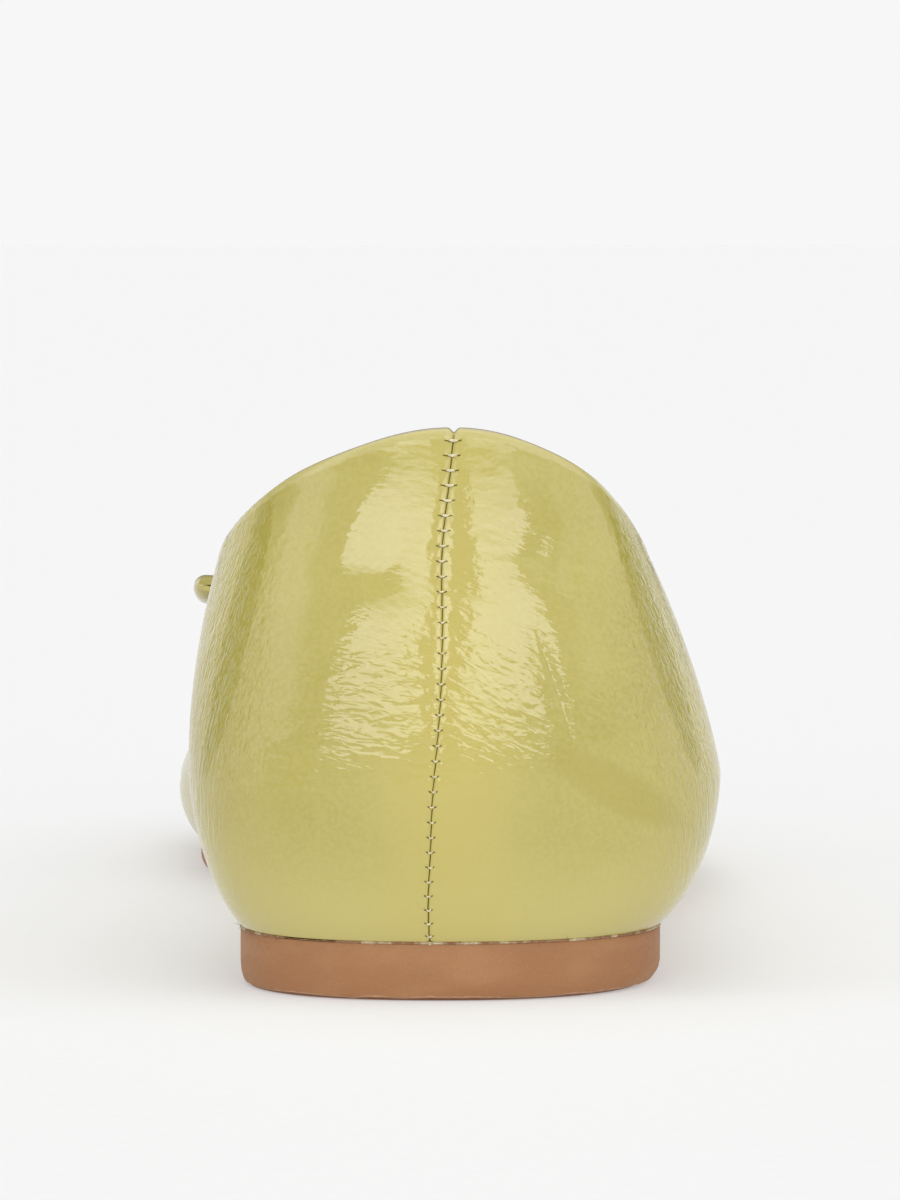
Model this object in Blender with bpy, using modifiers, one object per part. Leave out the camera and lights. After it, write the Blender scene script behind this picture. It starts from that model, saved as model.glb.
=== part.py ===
"""Ballet flat for the right foot: moulded rubber outsole with a low heel, hollow leather upper
with its lasting margin turned in, insole, and a flat bow of two loops and a knot.

Metres. +Y runs from heel to toe, +Z is up and +X is the lateral side. A station is a distance
along +Y from the rearmost point of the upper.
"""
import bpy
import bmesh
import numpy as np
from math import atan2, cos, hypot, pi, radians, sin, sqrt
from mathutils import Vector

# Upper.
SHOE_LENGTH = 0.2485
HEEL_WIDTH = 0.0669
WAIST_WIDTH = 0.0628
BALL_WIDTH = 0.0776
BACK_HEIGHT = 0.0635
VAMP_HEIGHT = 0.0318
HEEL_CAP = 0.0300
TOE_CAP = 0.0580
BACK_TUCK = 0.0048
TOE_TUCK = 0.0035
THROAT_BACK = 0.1120
THROAT_FRONT = 0.1700
WALL = 0.0018
LASTING_MARGIN = 0.0040

# Outsole.
HEEL_THICKNESS = 0.0070
SOLE_THICKNESS = 0.0040
HEEL_LENGTH = 0.0620
BREAST_RUN = 0.0022
ARCH_RISE = 0.0028
TOE_SPRING = 0.0055
TREAD_BACK = 0.1220
TREAD_FRONT = 0.1900
EDGE_BAND = 0.0010
EDGE_STEP = 0.0003
EDGE_MEDIAL = 0.0009
EDGE_LATERAL = 0.0022

# Insole.
INSOLE_COVER = 0.0012

# Bow.
BOW_WIDTH = 0.0636
BOW_OFFSET = -0.0010
LOOP_BREADTH = 0.0140
LOOP_ROOT = 0.0085
LOOP_NOSE = 0.0014
LOOP_PINCH = 0.0009
LOOP_RISE = 0.0016
STRAP = 0.0013
KNOT_WIDTH = 0.0085
KNOT_DEPTH = 0.0125
KNOT_HEIGHT = 0.0078
KNOT_ROUND = 0.0016

# Gap between pieces that touch, and the roundness of the caps and of the tuck.
GAP = 0.0003
HEEL_POWER = 2.3
TOE_POWER = 2.2
THROAT_POWER = 2.3
TUCK_POWER = 1.72
TUCK_SKEW = 0.08
TUCK_TURN = radians(70)
CROWN_POWER = 4 / 3

# Levels of the skin: 0 on the ridge, 1 on the widest line, FEATHER_LEVEL where it meets the sole,
# TURNED_LEVEL at the inner edge of the lasting margin.
FEATHER_LEVEL = 1.35
TURNED_LEVEL = 1.50

# Plan of the widest line. Station: share of the length. Centre: share of the ball width.
# Heel, waist and ball: shares of those widths in the width at the station.
#        station centre  heel  waist ball
PLAN = (
    (0.000, -0.022, 1.00, 0.00, 0.00),
    (0.060, -0.002, 1.00, 0.00, 0.00),
    (0.120, 0.009, 0.99, 0.01, 0.00),
    (0.200, 0.014, 1.00, 0.00, 0.00),
    (0.300, 0.023, 0.35, 0.65, 0.00),
    (0.400, 0.037, 0.00, 1.00, 0.00),
    (0.500, 0.037, 0.00, 0.72, 0.28),
    (0.600, 0.018, 0.00, 0.27, 0.73),
    (0.685, -0.010, 0.00, 0.00, 1.00),
    (0.765, -0.034, 0.00, 0.14, 0.86),
    (0.880, -0.062, 0.00, 0.30, 0.70),
    (1.000, -0.088, 0.00, 0.40, 0.60),
)

# Sections. Bulge: height of the widest line over the sole; crown: height of the ridge, or of
# where the quarters would meet, over that. Each is a share of the back height and a share of
# the vamp height. Lean: sideways shift over height. Tucks: shares of the ball width.
#        station bulge         crown         lean    tuck medial, lateral
SECTIONS = (
    (0.000, 0.300, 0.000, 1.330, 0.000, 0.050, 0.079, 0.096),
    (0.028, 0.300, 0.000, 1.255, 0.000, 0.020, 0.080, 0.096),
    (0.055, 0.299, 0.000, 1.080, 0.000, -0.030, 0.081, 0.096),
    (0.095, 0.296, 0.000, 0.910, 0.000, -0.085, 0.082, 0.097),
    (0.190, 0.288, 0.000, 0.790, 0.000, -0.118, 0.089, 0.100),
    (0.320, 0.240, 0.020, 0.560, 0.340, -0.125, 0.120, 0.095),
    (0.440, 0.140, 0.130, 0.300, 0.640, -0.135, 0.130, 0.080),
    (0.560, 0.040, 0.200, 0.080, 0.790, -0.150, 0.085, 0.060),
    (0.685, 0.000, 0.215, 0.000, 0.785, -0.160, 0.043, 0.045),
    (0.780, 0.000, 0.225, 0.000, 0.670, -0.130, 0.042, 0.042),
    (0.880, 0.000, 0.240, 0.000, 0.550, -0.080, 0.042, 0.042),
    (1.000, 0.000, 0.250, 0.000, 0.480, -0.040, 0.044, 0.044),
)

# Topline. Station: share of THROAT_BACK. Opening: share of the half width at the widest line.
COLLAR = (
    (0.000, 0.767),
    (0.020, 0.779),
    (0.080, 0.782),
    (0.180, 0.788),
    (0.400, 0.806),
    (0.600, 0.818),
    (0.800, 0.812),
    (1.000, 0.795),
)

# Columns round each half of the upper, and rows up it. Pack share draws the rows together at
# the feather line on the long columns.
CAP_COLUMNS = 8
QUARTER_COLUMNS = 12
VAMP_COLUMNS = 26
SKIN_ROWS = 14
PACK_SHARE = 0.90
MARGIN_ROWS = 1

HEEL_CENTRE = HEEL_CAP
TOE_CENTRE = SHOE_LENGTH - TOE_CAP


def spline(rows, pick):
    """Natural cubic spline through the picked value of each row, over the row's station."""
    station = np.array([row[0] for row in rows])
    value = np.array([pick(row) for row in rows])
    step = np.diff(station)
    count = len(rows)
    matrix = np.eye(count)
    bend = np.zeros(count)
    for i in range(1, count - 1):
        matrix[i, i - 1:i + 2] = step[i - 1], 2 * (step[i - 1] + step[i]), step[i]
        bend[i] = 6 * ((value[i + 1] - value[i]) / step[i] - (value[i] - value[i - 1]) / step[i - 1])
    bend = np.linalg.solve(matrix, bend)

    def at(place):
        place = min(max(place, station[0]), station[-1])
        i = min(max(int(np.searchsorted(station, place)) - 1, 0), count - 2)
        back = (station[i + 1] - place) / step[i]
        front = 1 - back
        curve = (back ** 3 - back) * bend[i] + (front ** 3 - front) * bend[i + 1]
        return float(back * value[i] + front * value[i + 1] + curve * step[i] ** 2 / 6)

    return at


plan_centre = spline(PLAN, lambda row: row[1] * BALL_WIDTH)
plan_half = spline(PLAN, lambda row: (row[2] * HEEL_WIDTH + row[3] * WAIST_WIDTH + row[4] * BALL_WIDTH) / 2)
bulge_rise = spline(SECTIONS, lambda row: row[1] * BACK_HEIGHT + row[2] * VAMP_HEIGHT)
crown_rise = spline(SECTIONS, lambda row: row[3] * BACK_HEIGHT + row[4] * VAMP_HEIGHT)
side_lean = spline(SECTIONS, lambda row: row[5])
medial_tuck = spline(SECTIONS, lambda row: row[6] * BALL_WIDTH)
lateral_tuck = spline(SECTIONS, lambda row: row[7] * BALL_WIDTH)
collar_opening = spline(COLLAR, lambda row: row[1])


def ease(share):
    """Smooth step from 0 to 1."""
    share = min(max(share, 0.0), 1.0)
    return share * share * (3 - 2 * share)


def toe_lift(y):
    """Rise of the outsole's underside in front of the forefoot tread."""
    return TOE_SPRING * max(0.0, (y - TREAD_FRONT) / (SHOE_LENGTH - TREAD_FRONT)) ** 2


def sole_top(y):
    """Height of the outsole's upper face: heel, slope through the waist, forefoot, toe spring."""
    slope = ease((y - HEEL_LENGTH * 0.6) / (TREAD_BACK * 1.15 - HEEL_LENGTH * 0.6))
    return HEEL_THICKNESS + (SOLE_THICKNESS - HEEL_THICKNESS) * slope + toe_lift(y)


def sole_bottom(y):
    """Height of the outsole's underside: flat heel, breast, arch, flat tread, toe spring."""
    if y < HEEL_LENGTH:
        return 0.0
    if y < HEEL_LENGTH + BREAST_RUN:
        return ARCH_RISE * (y - HEEL_LENGTH) / BREAST_RUN
    arch = 1 - ease((y - HEEL_LENGTH - BREAST_RUN) / (TREAD_BACK - HEEL_LENGTH - BREAST_RUN))
    return ARCH_RISE * arch + toe_lift(y)


def ray(across, y):
    """Split a place in the plan into its level, its direction, and the cap it lies in."""
    if y < HEEL_CENTRE:
        end, way, base, depth, power = (HEEL_CENTRE - y) / HEEL_CAP, -1, HEEL_CENTRE, HEEL_CAP, HEEL_POWER
    elif y > TOE_CENTRE:
        end, way, base, depth, power = (y - TOE_CENTRE) / TOE_CAP, 1, TOE_CENTRE, TOE_CAP, TOE_POWER
    else:
        return abs(across), (1 if across > 0 else -1), 0.0, 0, y, 0.0
    level = hypot(across, end)
    if level == 0:
        return 0.0, 0.0, 0.0, way, base, depth
    side, front = across / level, end / level
    reach = (abs(side) ** power + front ** power) ** (-1 / power)
    return level, side * reach, front * reach, way, base, depth


def end_tuck(way):
    """Tuck at the back or at the toe."""
    return BACK_TUCK if way < 0 else TOE_TUCK


def tuck_under(share, side):
    """Fall and tuck of the skin, as shares, on its way from the widest line to the feather line."""
    power = 2 / (TUCK_POWER + TUCK_SKEW * side)
    fall = sin(share * TUCK_TURN) ** power / sin(TUCK_TURN) ** power
    tuck = (1 - cos(share * TUCK_TURN) ** power) / (1 - cos(TUCK_TURN) ** power)
    return fall, tuck


def skin(across, y):
    """Point of the upper's outer face at a level across and a station along."""
    level, side, front, way, base, depth = ray(across, y)
    turn = min(level, 1.0) * pi / 2
    under = min(max((level - 1) / (FEATHER_LEVEL - 1), 0.0), 1.0)
    wide = sin(turn)
    lift = max(cos(turn), 0.0) ** CROWN_POWER if level < 1 else 0.0
    fall, tuck = tuck_under(under, side)
    margin = max(level - FEATHER_LEVEL, 0.0) / (TURNED_LEVEL - FEATHER_LEVEL) * LASTING_MARGIN
    place = base + way * front * (wide * depth - tuck * end_tuck(way) - margin)
    side_tuck = lateral_tuck(place / SHOE_LENGTH) if side > 0 else medial_tuck(place / SHOE_LENGTH)
    share = place / SHOE_LENGTH
    half = plan_half(min(max(place, HEEL_CENTRE), TOE_CENTRE) / SHOE_LENGTH)
    rise = lift * crown_rise(share)
    x = plan_centre(share) + side * (wide * half - tuck * side_tuck - margin) + side_lean(share) * rise
    z = sole_top(place) + GAP + bulge_rise(share) * (1 - fall) + rise
    return Vector((x, place, z))


def level_of(opening):
    """Level of the skin at a share of the half width."""
    return atan2(opening, sqrt(1 - opening ** 2)) / (pi / 2)


def cap_direction(turn, power):
    """Direction on a rounded cap at an angle from its side."""
    reach = (cos(turn) ** power + sin(turn) ** power) ** (-1 / power)
    return cos(turn) * reach, sin(turn) * reach


def column_ends(column):
    """Places of the topline and the feather line on one column of a half of the upper."""
    if column <= CAP_COLUMNS:
        turn = (1 - column / CAP_COLUMNS) * pi / 2
        widest = HEEL_CENTRE - HEEL_CAP * sin(turn)
        level = level_of(collar_opening(widest / THROAT_BACK))
        top = (level * cos(turn), HEEL_CENTRE - HEEL_CAP * level * sin(turn))
        return top, (FEATHER_LEVEL * cos(turn), HEEL_CENTRE - HEEL_CAP * FEATHER_LEVEL * sin(turn))
    if column <= CAP_COLUMNS + QUARTER_COLUMNS:
        share = (column - CAP_COLUMNS) / QUARTER_COLUMNS
        y = HEEL_CENTRE + (THROAT_BACK - HEEL_CENTRE) * share
        return (level_of(collar_opening(y / THROAT_BACK)), y), (FEATHER_LEVEL, y)
    share = (column - CAP_COLUMNS - QUARTER_COLUMNS) / VAMP_COLUMNS
    wide, ahead = cap_direction(share * pi / 2, THROAT_POWER)
    top = (level_of(collar_opening(1.0) * wide), THROAT_BACK + (THROAT_FRONT - THROAT_BACK) * ahead)
    straight = (TOE_CENTRE - THROAT_BACK) / TOE_CAP
    path = share * (straight + FEATHER_LEVEL * pi / 2)
    if path <= straight:
        return top, (FEATHER_LEVEL, THROAT_BACK + path * TOE_CAP)
    turn = (path - straight) / FEATHER_LEVEL
    return top, (FEATHER_LEVEL * cos(turn), TOE_CENTRE + TOE_CAP * FEATHER_LEVEL * sin(turn))


def widen(place, level):
    """Move a feather place out along its own ray, onto another level."""
    across, y = place
    share = level / FEATHER_LEVEL
    if y < HEEL_CENTRE:
        return across * share, HEEL_CENTRE + (y - HEEL_CENTRE) * share
    if y > TOE_CENTRE:
        return across * share, TOE_CENTRE + (y - TOE_CENTRE) * share
    return across * share, y


def material(name, colour, roughness, metallic=0.0):
    """Principled material with a plain colour."""
    made = bpy.data.materials.new(name)
    made.use_nodes = True
    shader = made.node_tree.nodes["Principled BSDF"]
    shader.inputs["Base Color"].default_value = (*colour, 1.0)
    shader.inputs["Roughness"].default_value = roughness
    shader.inputs["Metallic"].default_value = metallic
    made.diffuse_color = (*colour, 1.0)
    return made


def add_piece(name, mesh_data, look):
    """Link a finished bmesh as one object of the shoe."""
    mesh = bpy.data.meshes.new(name)
    mesh_data.to_mesh(mesh)
    mesh_data.free()
    mesh.shade_smooth()
    mesh.set_sharp_from_angle(angle=radians(40))
    piece = bpy.data.objects.new(name, mesh)
    piece.data.materials.append(look)
    piece.parent = shoe
    collection.objects.link(piece)
    return piece


def grid(columns, rows, place):
    """Grid whose vertices are placed by their column and row."""
    made = bmesh.new()
    bmesh.ops.create_grid(made, x_segments=columns, y_segments=rows, size=1.0)
    for vert in made.verts:
        column = round((vert.co.x + 1) / 2 * columns)
        row = round((vert.co.y + 1) / 2 * rows)
        vert.co = place(column, row)
    return made


def thicken(piece, thickness, offset):
    """Wall on one side of an open surface."""
    wall = piece.modifiers.new("wall", "SOLIDIFY")
    wall.thickness = thickness
    wall.offset = offset
    wall.use_even_offset = True
    wall.use_rim = True


for old in list(bpy.data.objects):
    bpy.data.objects.remove(old)
collection = bpy.data.collections.new("ballet_flat")
bpy.context.scene.collection.children.link(collection)
shoe = bpy.data.objects.new("ballet_flat_frame", None)
collection.objects.link(shoe)

leather = material("upper_leather", (0.58, 0.51, 0.15), 0.22)
rubber = material("sole_rubber", (0.43, 0.22, 0.11), 0.75)
lining = material("insole_leather", (0.62, 0.50, 0.36), 0.6)

# Upper: a ring of columns from the topline down to the feather line, turned in over the sole.
HALF_COLUMNS = CAP_COLUMNS + QUARTER_COLUMNS + VAMP_COLUMNS


def upper_point(column, row):
    """Point of the upper: columns run from the back round the medial side and home."""
    side = -1 if column <= HALF_COLUMNS else 1
    column = column if column <= HALF_COLUMNS else 2 * HALF_COLUMNS - column
    top, feather = column_ends(column)
    if row >= SKIN_ROWS:
        level = FEATHER_LEVEL + (TURNED_LEVEL - FEATHER_LEVEL) * (row - SKIN_ROWS) / MARGIN_ROWS
        across, y = widen(feather, level)
    else:
        length = hypot(feather[0] - top[0], (feather[1] - top[1]) / TOE_CAP)
        pack = min(1.0, PACK_SHARE / length)
        left = 1 - row / SKIN_ROWS
        share = 1 - pack * left - (1 - pack) * left ** 2
        across = top[0] + (feather[0] - top[0]) * share
        y = top[1] + (feather[1] - top[1]) * share
    return skin(side * across, y)


upper_mesh = grid(2 * HALF_COLUMNS, SKIN_ROWS + MARGIN_ROWS, upper_point)
bmesh.ops.remove_doubles(upper_mesh, verts=upper_mesh.verts, dist=0.00001)
upper = add_piece("upper", upper_mesh, leather)
thicken(upper, WALL, -1)


# Plates: the outsole and the insole share one plan, a grid whose rim is the feather line.
PLATE_COLUMNS = 8
REAR_ROWS = 3
NOSE_ROWS = 4
REAR_CORNER = radians(42)
NOSE_CORNER = radians(42)
STRAIGHTEN = 3


def rim_place(side, turn, front):
    """Place on the rim of a cap, at an angle from its side."""
    if front:
        return side * cos(turn), TOE_CENTRE + TOE_CAP * sin(turn)
    return side * cos(turn), HEEL_CENTRE - HEEL_CAP * sin(turn)


def plate_rows(stations):
    """Right-hand rim places from the rear corner, past the stations, to the nose corner."""
    rows = [rim_place(1, REAR_CORNER * (1 - i / REAR_ROWS), False) for i in range(REAR_ROWS)]
    rows += [(1.0, y) for y in stations]
    rows += [rim_place(1, NOSE_CORNER * (i + 1) / NOSE_ROWS, True) for i in range(NOSE_ROWS)]
    return rows


def plate_place(rows, across, row):
    """Place in the plan: straight rows that curve into the two caps."""
    x, y = rows[row]
    last = len(rows) - 1
    near_rear = max(0.0, 1 - row / (REAR_ROWS + STRAIGHTEN)) ** 1.5
    near_nose = max(0.0, 1 - (last - row) / (NOSE_ROWS + STRAIGHTEN)) ** 1.5
    side = 1 if across >= 0 else -1
    rear = rim_place(side, pi / 2 - abs(across) * (pi / 2 - REAR_CORNER), False)
    nose = rim_place(side, pi / 2 - abs(across) * (pi / 2 - NOSE_CORNER), True)
    return (
        across * x + near_rear * (rear[0] - across * rows[0][0]) + near_nose * (nose[0] - across * rows[-1][0]),
        y + near_rear * (rear[1] - rows[0][1]) + near_nose * (nose[1] - rows[-1][1]),
    )


def plate_point(place, grow_side, grow_end):
    """Point of a plate's plan; the rim lies outside the feather line by the two amounts."""
    level, side, front, way, base, depth = ray(*place)
    y = base + way * front * level * (depth - end_tuck(way) + grow_end(way))
    share = y / SHOE_LENGTH
    tuck = lateral_tuck(share) if side > 0 else medial_tuck(share)
    half = plan_half(min(max(y, HEEL_CENTRE), TOE_CENTRE) / SHOE_LENGTH)
    return plan_centre(share) + side * level * (half - tuck + grow_side(share, side)), y


def plate(stations, layers, place_layer):
    """Block of stacked layers, from a cube cut into a grid on every face."""
    rows = plate_rows(stations)
    made = bmesh.new()
    bmesh.ops.create_cube(made, size=2.0)
    for axis, cuts in enumerate((PLATE_COLUMNS - 1, len(rows) - 2, layers - 2)):
        along = [edge for edge in made.edges
                 if abs(edge.verts[0].co[axis] - edge.verts[1].co[axis]) > 0.5]
        if cuts:
            bmesh.ops.subdivide_edges(made, edges=along, cuts=cuts, use_grid_fill=True)
    for vert in made.verts:
        across = vert.co.x
        row = round((vert.co.y + 1) / 2 * (len(rows) - 1))
        layer = round((vert.co.z + 1) / 2 * (layers - 1))
        vert.co = place_layer(plate_place(rows, across, row), layer)
    return made


def spaced(start, end, count):
    """Evenly spaced stations, both ends included."""
    return [start + (end - start) * i / count for i in range(count + 1)]


# Outsole: wall, rounded lower edge with a fine step above the band that touches the floor.
# Height: share of the thickness over the band. Round: share of the edge rounding.
#         height  round  step
EDGE_LAYERS = (
    (0.00, 1.00, 1),
    (0.00, 0.55, 1),
    (0.00, 0.50, 0),
    (0.12, 0.20, 0),
    (0.34, 0.00, 0),
    (1.00, 0.00, 0),
)


def outsole_point(place, layer):
    """Point of the outsole on one layer; the lowest two bound the band on the floor."""
    height, rounding, step = EDGE_LAYERS[layer]

    def inset(side):
        return rounding * (EDGE_LATERAL if side > 0 else EDGE_MEDIAL) + step * EDGE_STEP

    x, y = plate_point(place, lambda share, side: -inset(side),
                       lambda way: -inset(-1))
    low, high = sole_bottom(y), sole_top(y)
    band = EDGE_BAND if layer else 0.0
    return Vector((x, y, low + band + (high - low - band) * height))


outsole_stations = (spaced(HEEL_CENTRE, HEEL_LENGTH, 4)
                    + spaced(HEEL_LENGTH + BREAST_RUN, TREAD_BACK, 7)
                    + spaced(TREAD_BACK, TREAD_FRONT, 8)[1:])
outsole_mesh = plate(outsole_stations, len(EDGE_LAYERS), outsole_point)
bmesh.ops.recalc_face_normals(outsole_mesh, faces=outsole_mesh.faces)
outsole = add_piece("outsole", outsole_mesh, rubber)


# Insole: a board between the turned-in margins, and a cover that spreads over them.
def inner_face(height, tuck, bulge, side):
    """How far outside the feather line the upper's inner face lies, at a height over its edge."""
    falls, tucks = np.transpose([tuck_under(share, side) for share in np.linspace(1.0, 0.05, 60)])
    out = tuck * (1 - tucks)
    up = bulge * (1 - falls)
    slope_out = np.gradient(out)
    slope_up = np.gradient(up)
    length = np.hypot(slope_out, slope_up)
    inner_out = out - WALL * slope_up / length
    inner_up = up + WALL * slope_out / length
    return float(np.interp(height, inner_up, inner_out))


def insole_point(place, layer):
    """Point of the insole: board below, cover above."""
    board = WALL + GAP
    height = (0.0, board, board, board + INSOLE_COVER)[layer]

    def grow(tuck, share, side):
        if layer < 2:
            return -LASTING_MARGIN - GAP * 3
        return inner_face(height, tuck, bulge_rise(share), side) - GAP * 2

    x, y = plate_point(
        place,
        lambda share, side: grow(lateral_tuck(share) if side > 0 else medial_tuck(share), share, side),
        lambda way: grow(end_tuck(way), 0.0 if way < 0 else 1.0, 0.0),
    )
    return Vector((x, y, sole_top(y) + GAP + height))


insole_stations = spaced(HEEL_CENTRE, TREAD_BACK, 9) + spaced(TREAD_BACK, TOE_CENTRE, 8)[1:]
insole_mesh = plate(insole_stations, 4, insole_point)
bmesh.ops.recalc_face_normals(insole_mesh, faces=insole_mesh.faces)
insole = add_piece("insole", insole_mesh, lining)


# Bow: it lies on the ridge behind the throat's edge, a knot with a folded loop to each side.
throat = skin(0.0, THROAT_FRONT)
knot_y = THROAT_FRONT + KNOT_DEPTH * 0.62
seat = skin(0.0, knot_y)
ahead = skin(0.0, knot_y + GAP) - skin(0.0, knot_y - GAP)
ridge_slope = atan2(ahead.z, ahead.y)
bow_centre = seat + Vector((BOW_OFFSET, 0, GAP * 1.3 + KNOT_HEIGHT / 2))

NOSE_STEPS = 6
LAYER_STEPS = 8
LOOP_ACROSS = 4


def loop_path(step):
    """Reach and height on a loop's middle line, from the knot out over the fold and back."""
    straight = BOW_WIDTH / 2 - KNOT_WIDTH / 2 - GAP - LOOP_NOSE - STRAP / 2
    if LAYER_STEPS <= step <= LAYER_STEPS + NOSE_STEPS:
        turn = (step - LAYER_STEPS) / NOSE_STEPS * pi
        return straight + LOOP_NOSE * sin(turn), LOOP_NOSE * cos(turn)
    over = step < LAYER_STEPS
    share = step / LAYER_STEPS if over else (2 * LAYER_STEPS + NOSE_STEPS - step) / LAYER_STEPS
    height = LOOP_PINCH + (LOOP_NOSE - LOOP_PINCH) * ease(share * 1.3)
    height += 0.35 * LOOP_NOSE * sin(share * pi) ** 2
    return straight * share, height if over else -height


def bow_loop(name, side):
    """One folded loop of the bow."""
    def point(across, step):
        reach, height = loop_path(step)
        share = reach / (BOW_WIDTH / 2)
        breadth = LOOP_ROOT + (LOOP_BREADTH - LOOP_ROOT) * ease(share * 1.25)
        side_way = across / LOOP_ACROSS * 2 - 1
        x = side * (KNOT_WIDTH / 2 + GAP + reach)
        z = height * (1 + 0.12 * (1 - side_way ** 2)) + LOOP_RISE * ease(share)
        y = side_way * breadth / 2
        return bow_centre + Vector((x, y, z + y * sin(ridge_slope)))

    made = grid(LOOP_ACROSS, 2 * LAYER_STEPS + NOSE_STEPS, point)
    bmesh.ops.recalc_face_normals(made, faces=made.faces)
    piece = add_piece(name, made, leather)
    thicken(piece, STRAP, 0)
    return piece


bow_loop("bow_loop_medial", -1)
bow_loop("bow_loop_lateral", 1)

knot_mesh = bmesh.new()
bmesh.ops.create_cube(knot_mesh, size=1.0)
for vert in knot_mesh.verts:
    vert.co.x *= KNOT_WIDTH
    vert.co.y *= KNOT_DEPTH
    vert.co.z *= KNOT_HEIGHT
bmesh.ops.bevel(knot_mesh, geom=knot_mesh.edges, offset=KNOT_ROUND, offset_type="OFFSET", segments=3,
                profile=0.5, affect="EDGES", material=-1)
knot = add_piece("bow_knot", knot_mesh, leather)
knot.location = bow_centre
knot.rotation_euler = (ridge_slope, 0, 0)

# Origin: middle of the footprint's box, on the floor.
bpy.context.view_layer.update()
graph = bpy.context.evaluated_depsgraph_get()
corners = []
for piece in collection.objects:
    if piece.type == "MESH":
        shown = piece.evaluated_get(graph)
        corners += [shown.matrix_world @ vert.co for vert in shown.data.vertices]
low = Vector([min(corner[i] for corner in corners) for i in range(3)])
high = Vector([max(corner[i] for corner in corners) for i in range(3)])
shoe.location = (-(low.x + high.x) / 2, -(low.y + high.y) / 2, -low.z)
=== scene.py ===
import bmesh
import bpy
import numpy as np
from math import atan2, cos, hypot, pi, radians, sin, sqrt
from mathutils import Matrix, Vector


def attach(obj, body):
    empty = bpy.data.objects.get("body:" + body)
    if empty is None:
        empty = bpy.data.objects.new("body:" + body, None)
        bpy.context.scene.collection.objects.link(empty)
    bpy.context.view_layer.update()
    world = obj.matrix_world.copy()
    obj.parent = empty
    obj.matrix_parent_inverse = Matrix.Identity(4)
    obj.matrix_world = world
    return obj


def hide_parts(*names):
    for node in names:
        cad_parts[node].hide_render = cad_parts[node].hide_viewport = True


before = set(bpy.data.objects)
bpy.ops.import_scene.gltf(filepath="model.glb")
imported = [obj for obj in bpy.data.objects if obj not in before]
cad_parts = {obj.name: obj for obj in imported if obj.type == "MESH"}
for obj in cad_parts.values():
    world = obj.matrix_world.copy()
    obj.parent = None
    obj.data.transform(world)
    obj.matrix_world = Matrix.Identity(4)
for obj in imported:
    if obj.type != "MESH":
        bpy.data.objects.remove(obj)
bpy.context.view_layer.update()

# UPPER
# The outer shell of the quarters and vamp: crinkled patent leather pulled over the last, butted and
# cross-stitched up the back, its topline folded over, its lasting margin turned in under the foot.
# Stations run along +Y from the rearmost point of the upper, which lies at BACK_Y in the frame.
MIDDLE_X = 0.0011844
BACK_Y = -0.1242394
SHOE_LENGTH = 0.2485
HEEL_WIDTH = 0.0669
WAIST_WIDTH = 0.0628
BALL_WIDTH = 0.0776
BACK_HEIGHT = 0.0635
VAMP_HEIGHT = 0.0318
HEEL_CAP = 0.0300
TOE_CAP = 0.0580
BACK_TUCK = 0.0048
TOE_TUCK = 0.0035
THROAT_BACK = 0.1120
THROAT_FRONT = 0.1700
WALL = 0.0018
LASTING_MARGIN = 0.0040
HEEL_THICKNESS = 0.0070
SOLE_THICKNESS = 0.0040
HEEL_LENGTH = 0.0620
TREAD_BACK = 0.1220
TREAD_FRONT = 0.1900
TOE_SPRING = 0.0055
GAP = 0.0003
SLOPE_BACK = HEEL_LENGTH * 0.6
SLOPE_FRONT = TREAD_BACK * 1.15
HEEL_POWER = 2.3
TOE_POWER = 2.2
THROAT_POWER = 2.3
TUCK_POWER = 1.72
TUCK_SKEW = 0.08
TUCK_TURN = radians(70)
CROWN_POWER = 4 / 3
FEATHER_LEVEL = 1.35
TURNED_LEVEL = 1.50
HEEL_CENTRE = HEEL_CAP
TOE_CENTRE = SHOE_LENGTH - TOE_CAP

# Plan of the widest line: station, centre, then shares of the heel, waist and ball widths.
PLAN = (
    (0.000, -0.022, 1.00, 0.00, 0.00), (0.060, -0.002, 1.00, 0.00, 0.00),
    (0.120, 0.009, 0.99, 0.01, 0.00), (0.200, 0.014, 1.00, 0.00, 0.00),
    (0.300, 0.023, 0.35, 0.65, 0.00), (0.400, 0.037, 0.00, 1.00, 0.00),
    (0.500, 0.037, 0.00, 0.72, 0.28), (0.600, 0.018, 0.00, 0.27, 0.73),
    (0.685, -0.010, 0.00, 0.00, 1.00), (0.765, -0.034, 0.00, 0.14, 0.86),
    (0.880, -0.062, 0.00, 0.30, 0.70), (1.000, -0.088, 0.00, 0.40, 0.60),
)
# Sections: station, bulge, crown (shares of the back and vamp heights), lean, tuck medial, lateral.
SECTIONS = (
    (0.000, 0.300, 0.000, 1.330, 0.000, 0.050, 0.079, 0.096),
    (0.028, 0.300, 0.000, 1.255, 0.000, 0.020, 0.080, 0.096),
    (0.055, 0.299, 0.000, 1.080, 0.000, -0.030, 0.081, 0.096),
    (0.095, 0.296, 0.000, 0.910, 0.000, -0.085, 0.082, 0.097),
    (0.190, 0.288, 0.000, 0.790, 0.000, -0.118, 0.089, 0.100),
    (0.320, 0.240, 0.020, 0.560, 0.340, -0.125, 0.120, 0.095),
    (0.440, 0.140, 0.130, 0.300, 0.640, -0.135, 0.130, 0.080),
    (0.560, 0.040, 0.200, 0.080, 0.790, -0.150, 0.085, 0.060),
    (0.685, 0.000, 0.215, 0.000, 0.785, -0.160, 0.043, 0.045),
    (0.780, 0.000, 0.225, 0.000, 0.670, -0.130, 0.042, 0.042),
    (0.880, 0.000, 0.240, 0.000, 0.550, -0.080, 0.042, 0.042),
    (1.000, 0.000, 0.250, 0.000, 0.480, -0.040, 0.044, 0.044),
)
# Topline: share of THROAT_BACK, opening as a share of the half width at the widest line.
COLLAR = (
    (0.000, 0.767), (0.020, 0.779), (0.080, 0.782), (0.180, 0.788),
    (0.400, 0.806), (0.600, 0.818), (0.800, 0.812), (1.000, 0.795),
)
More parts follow.
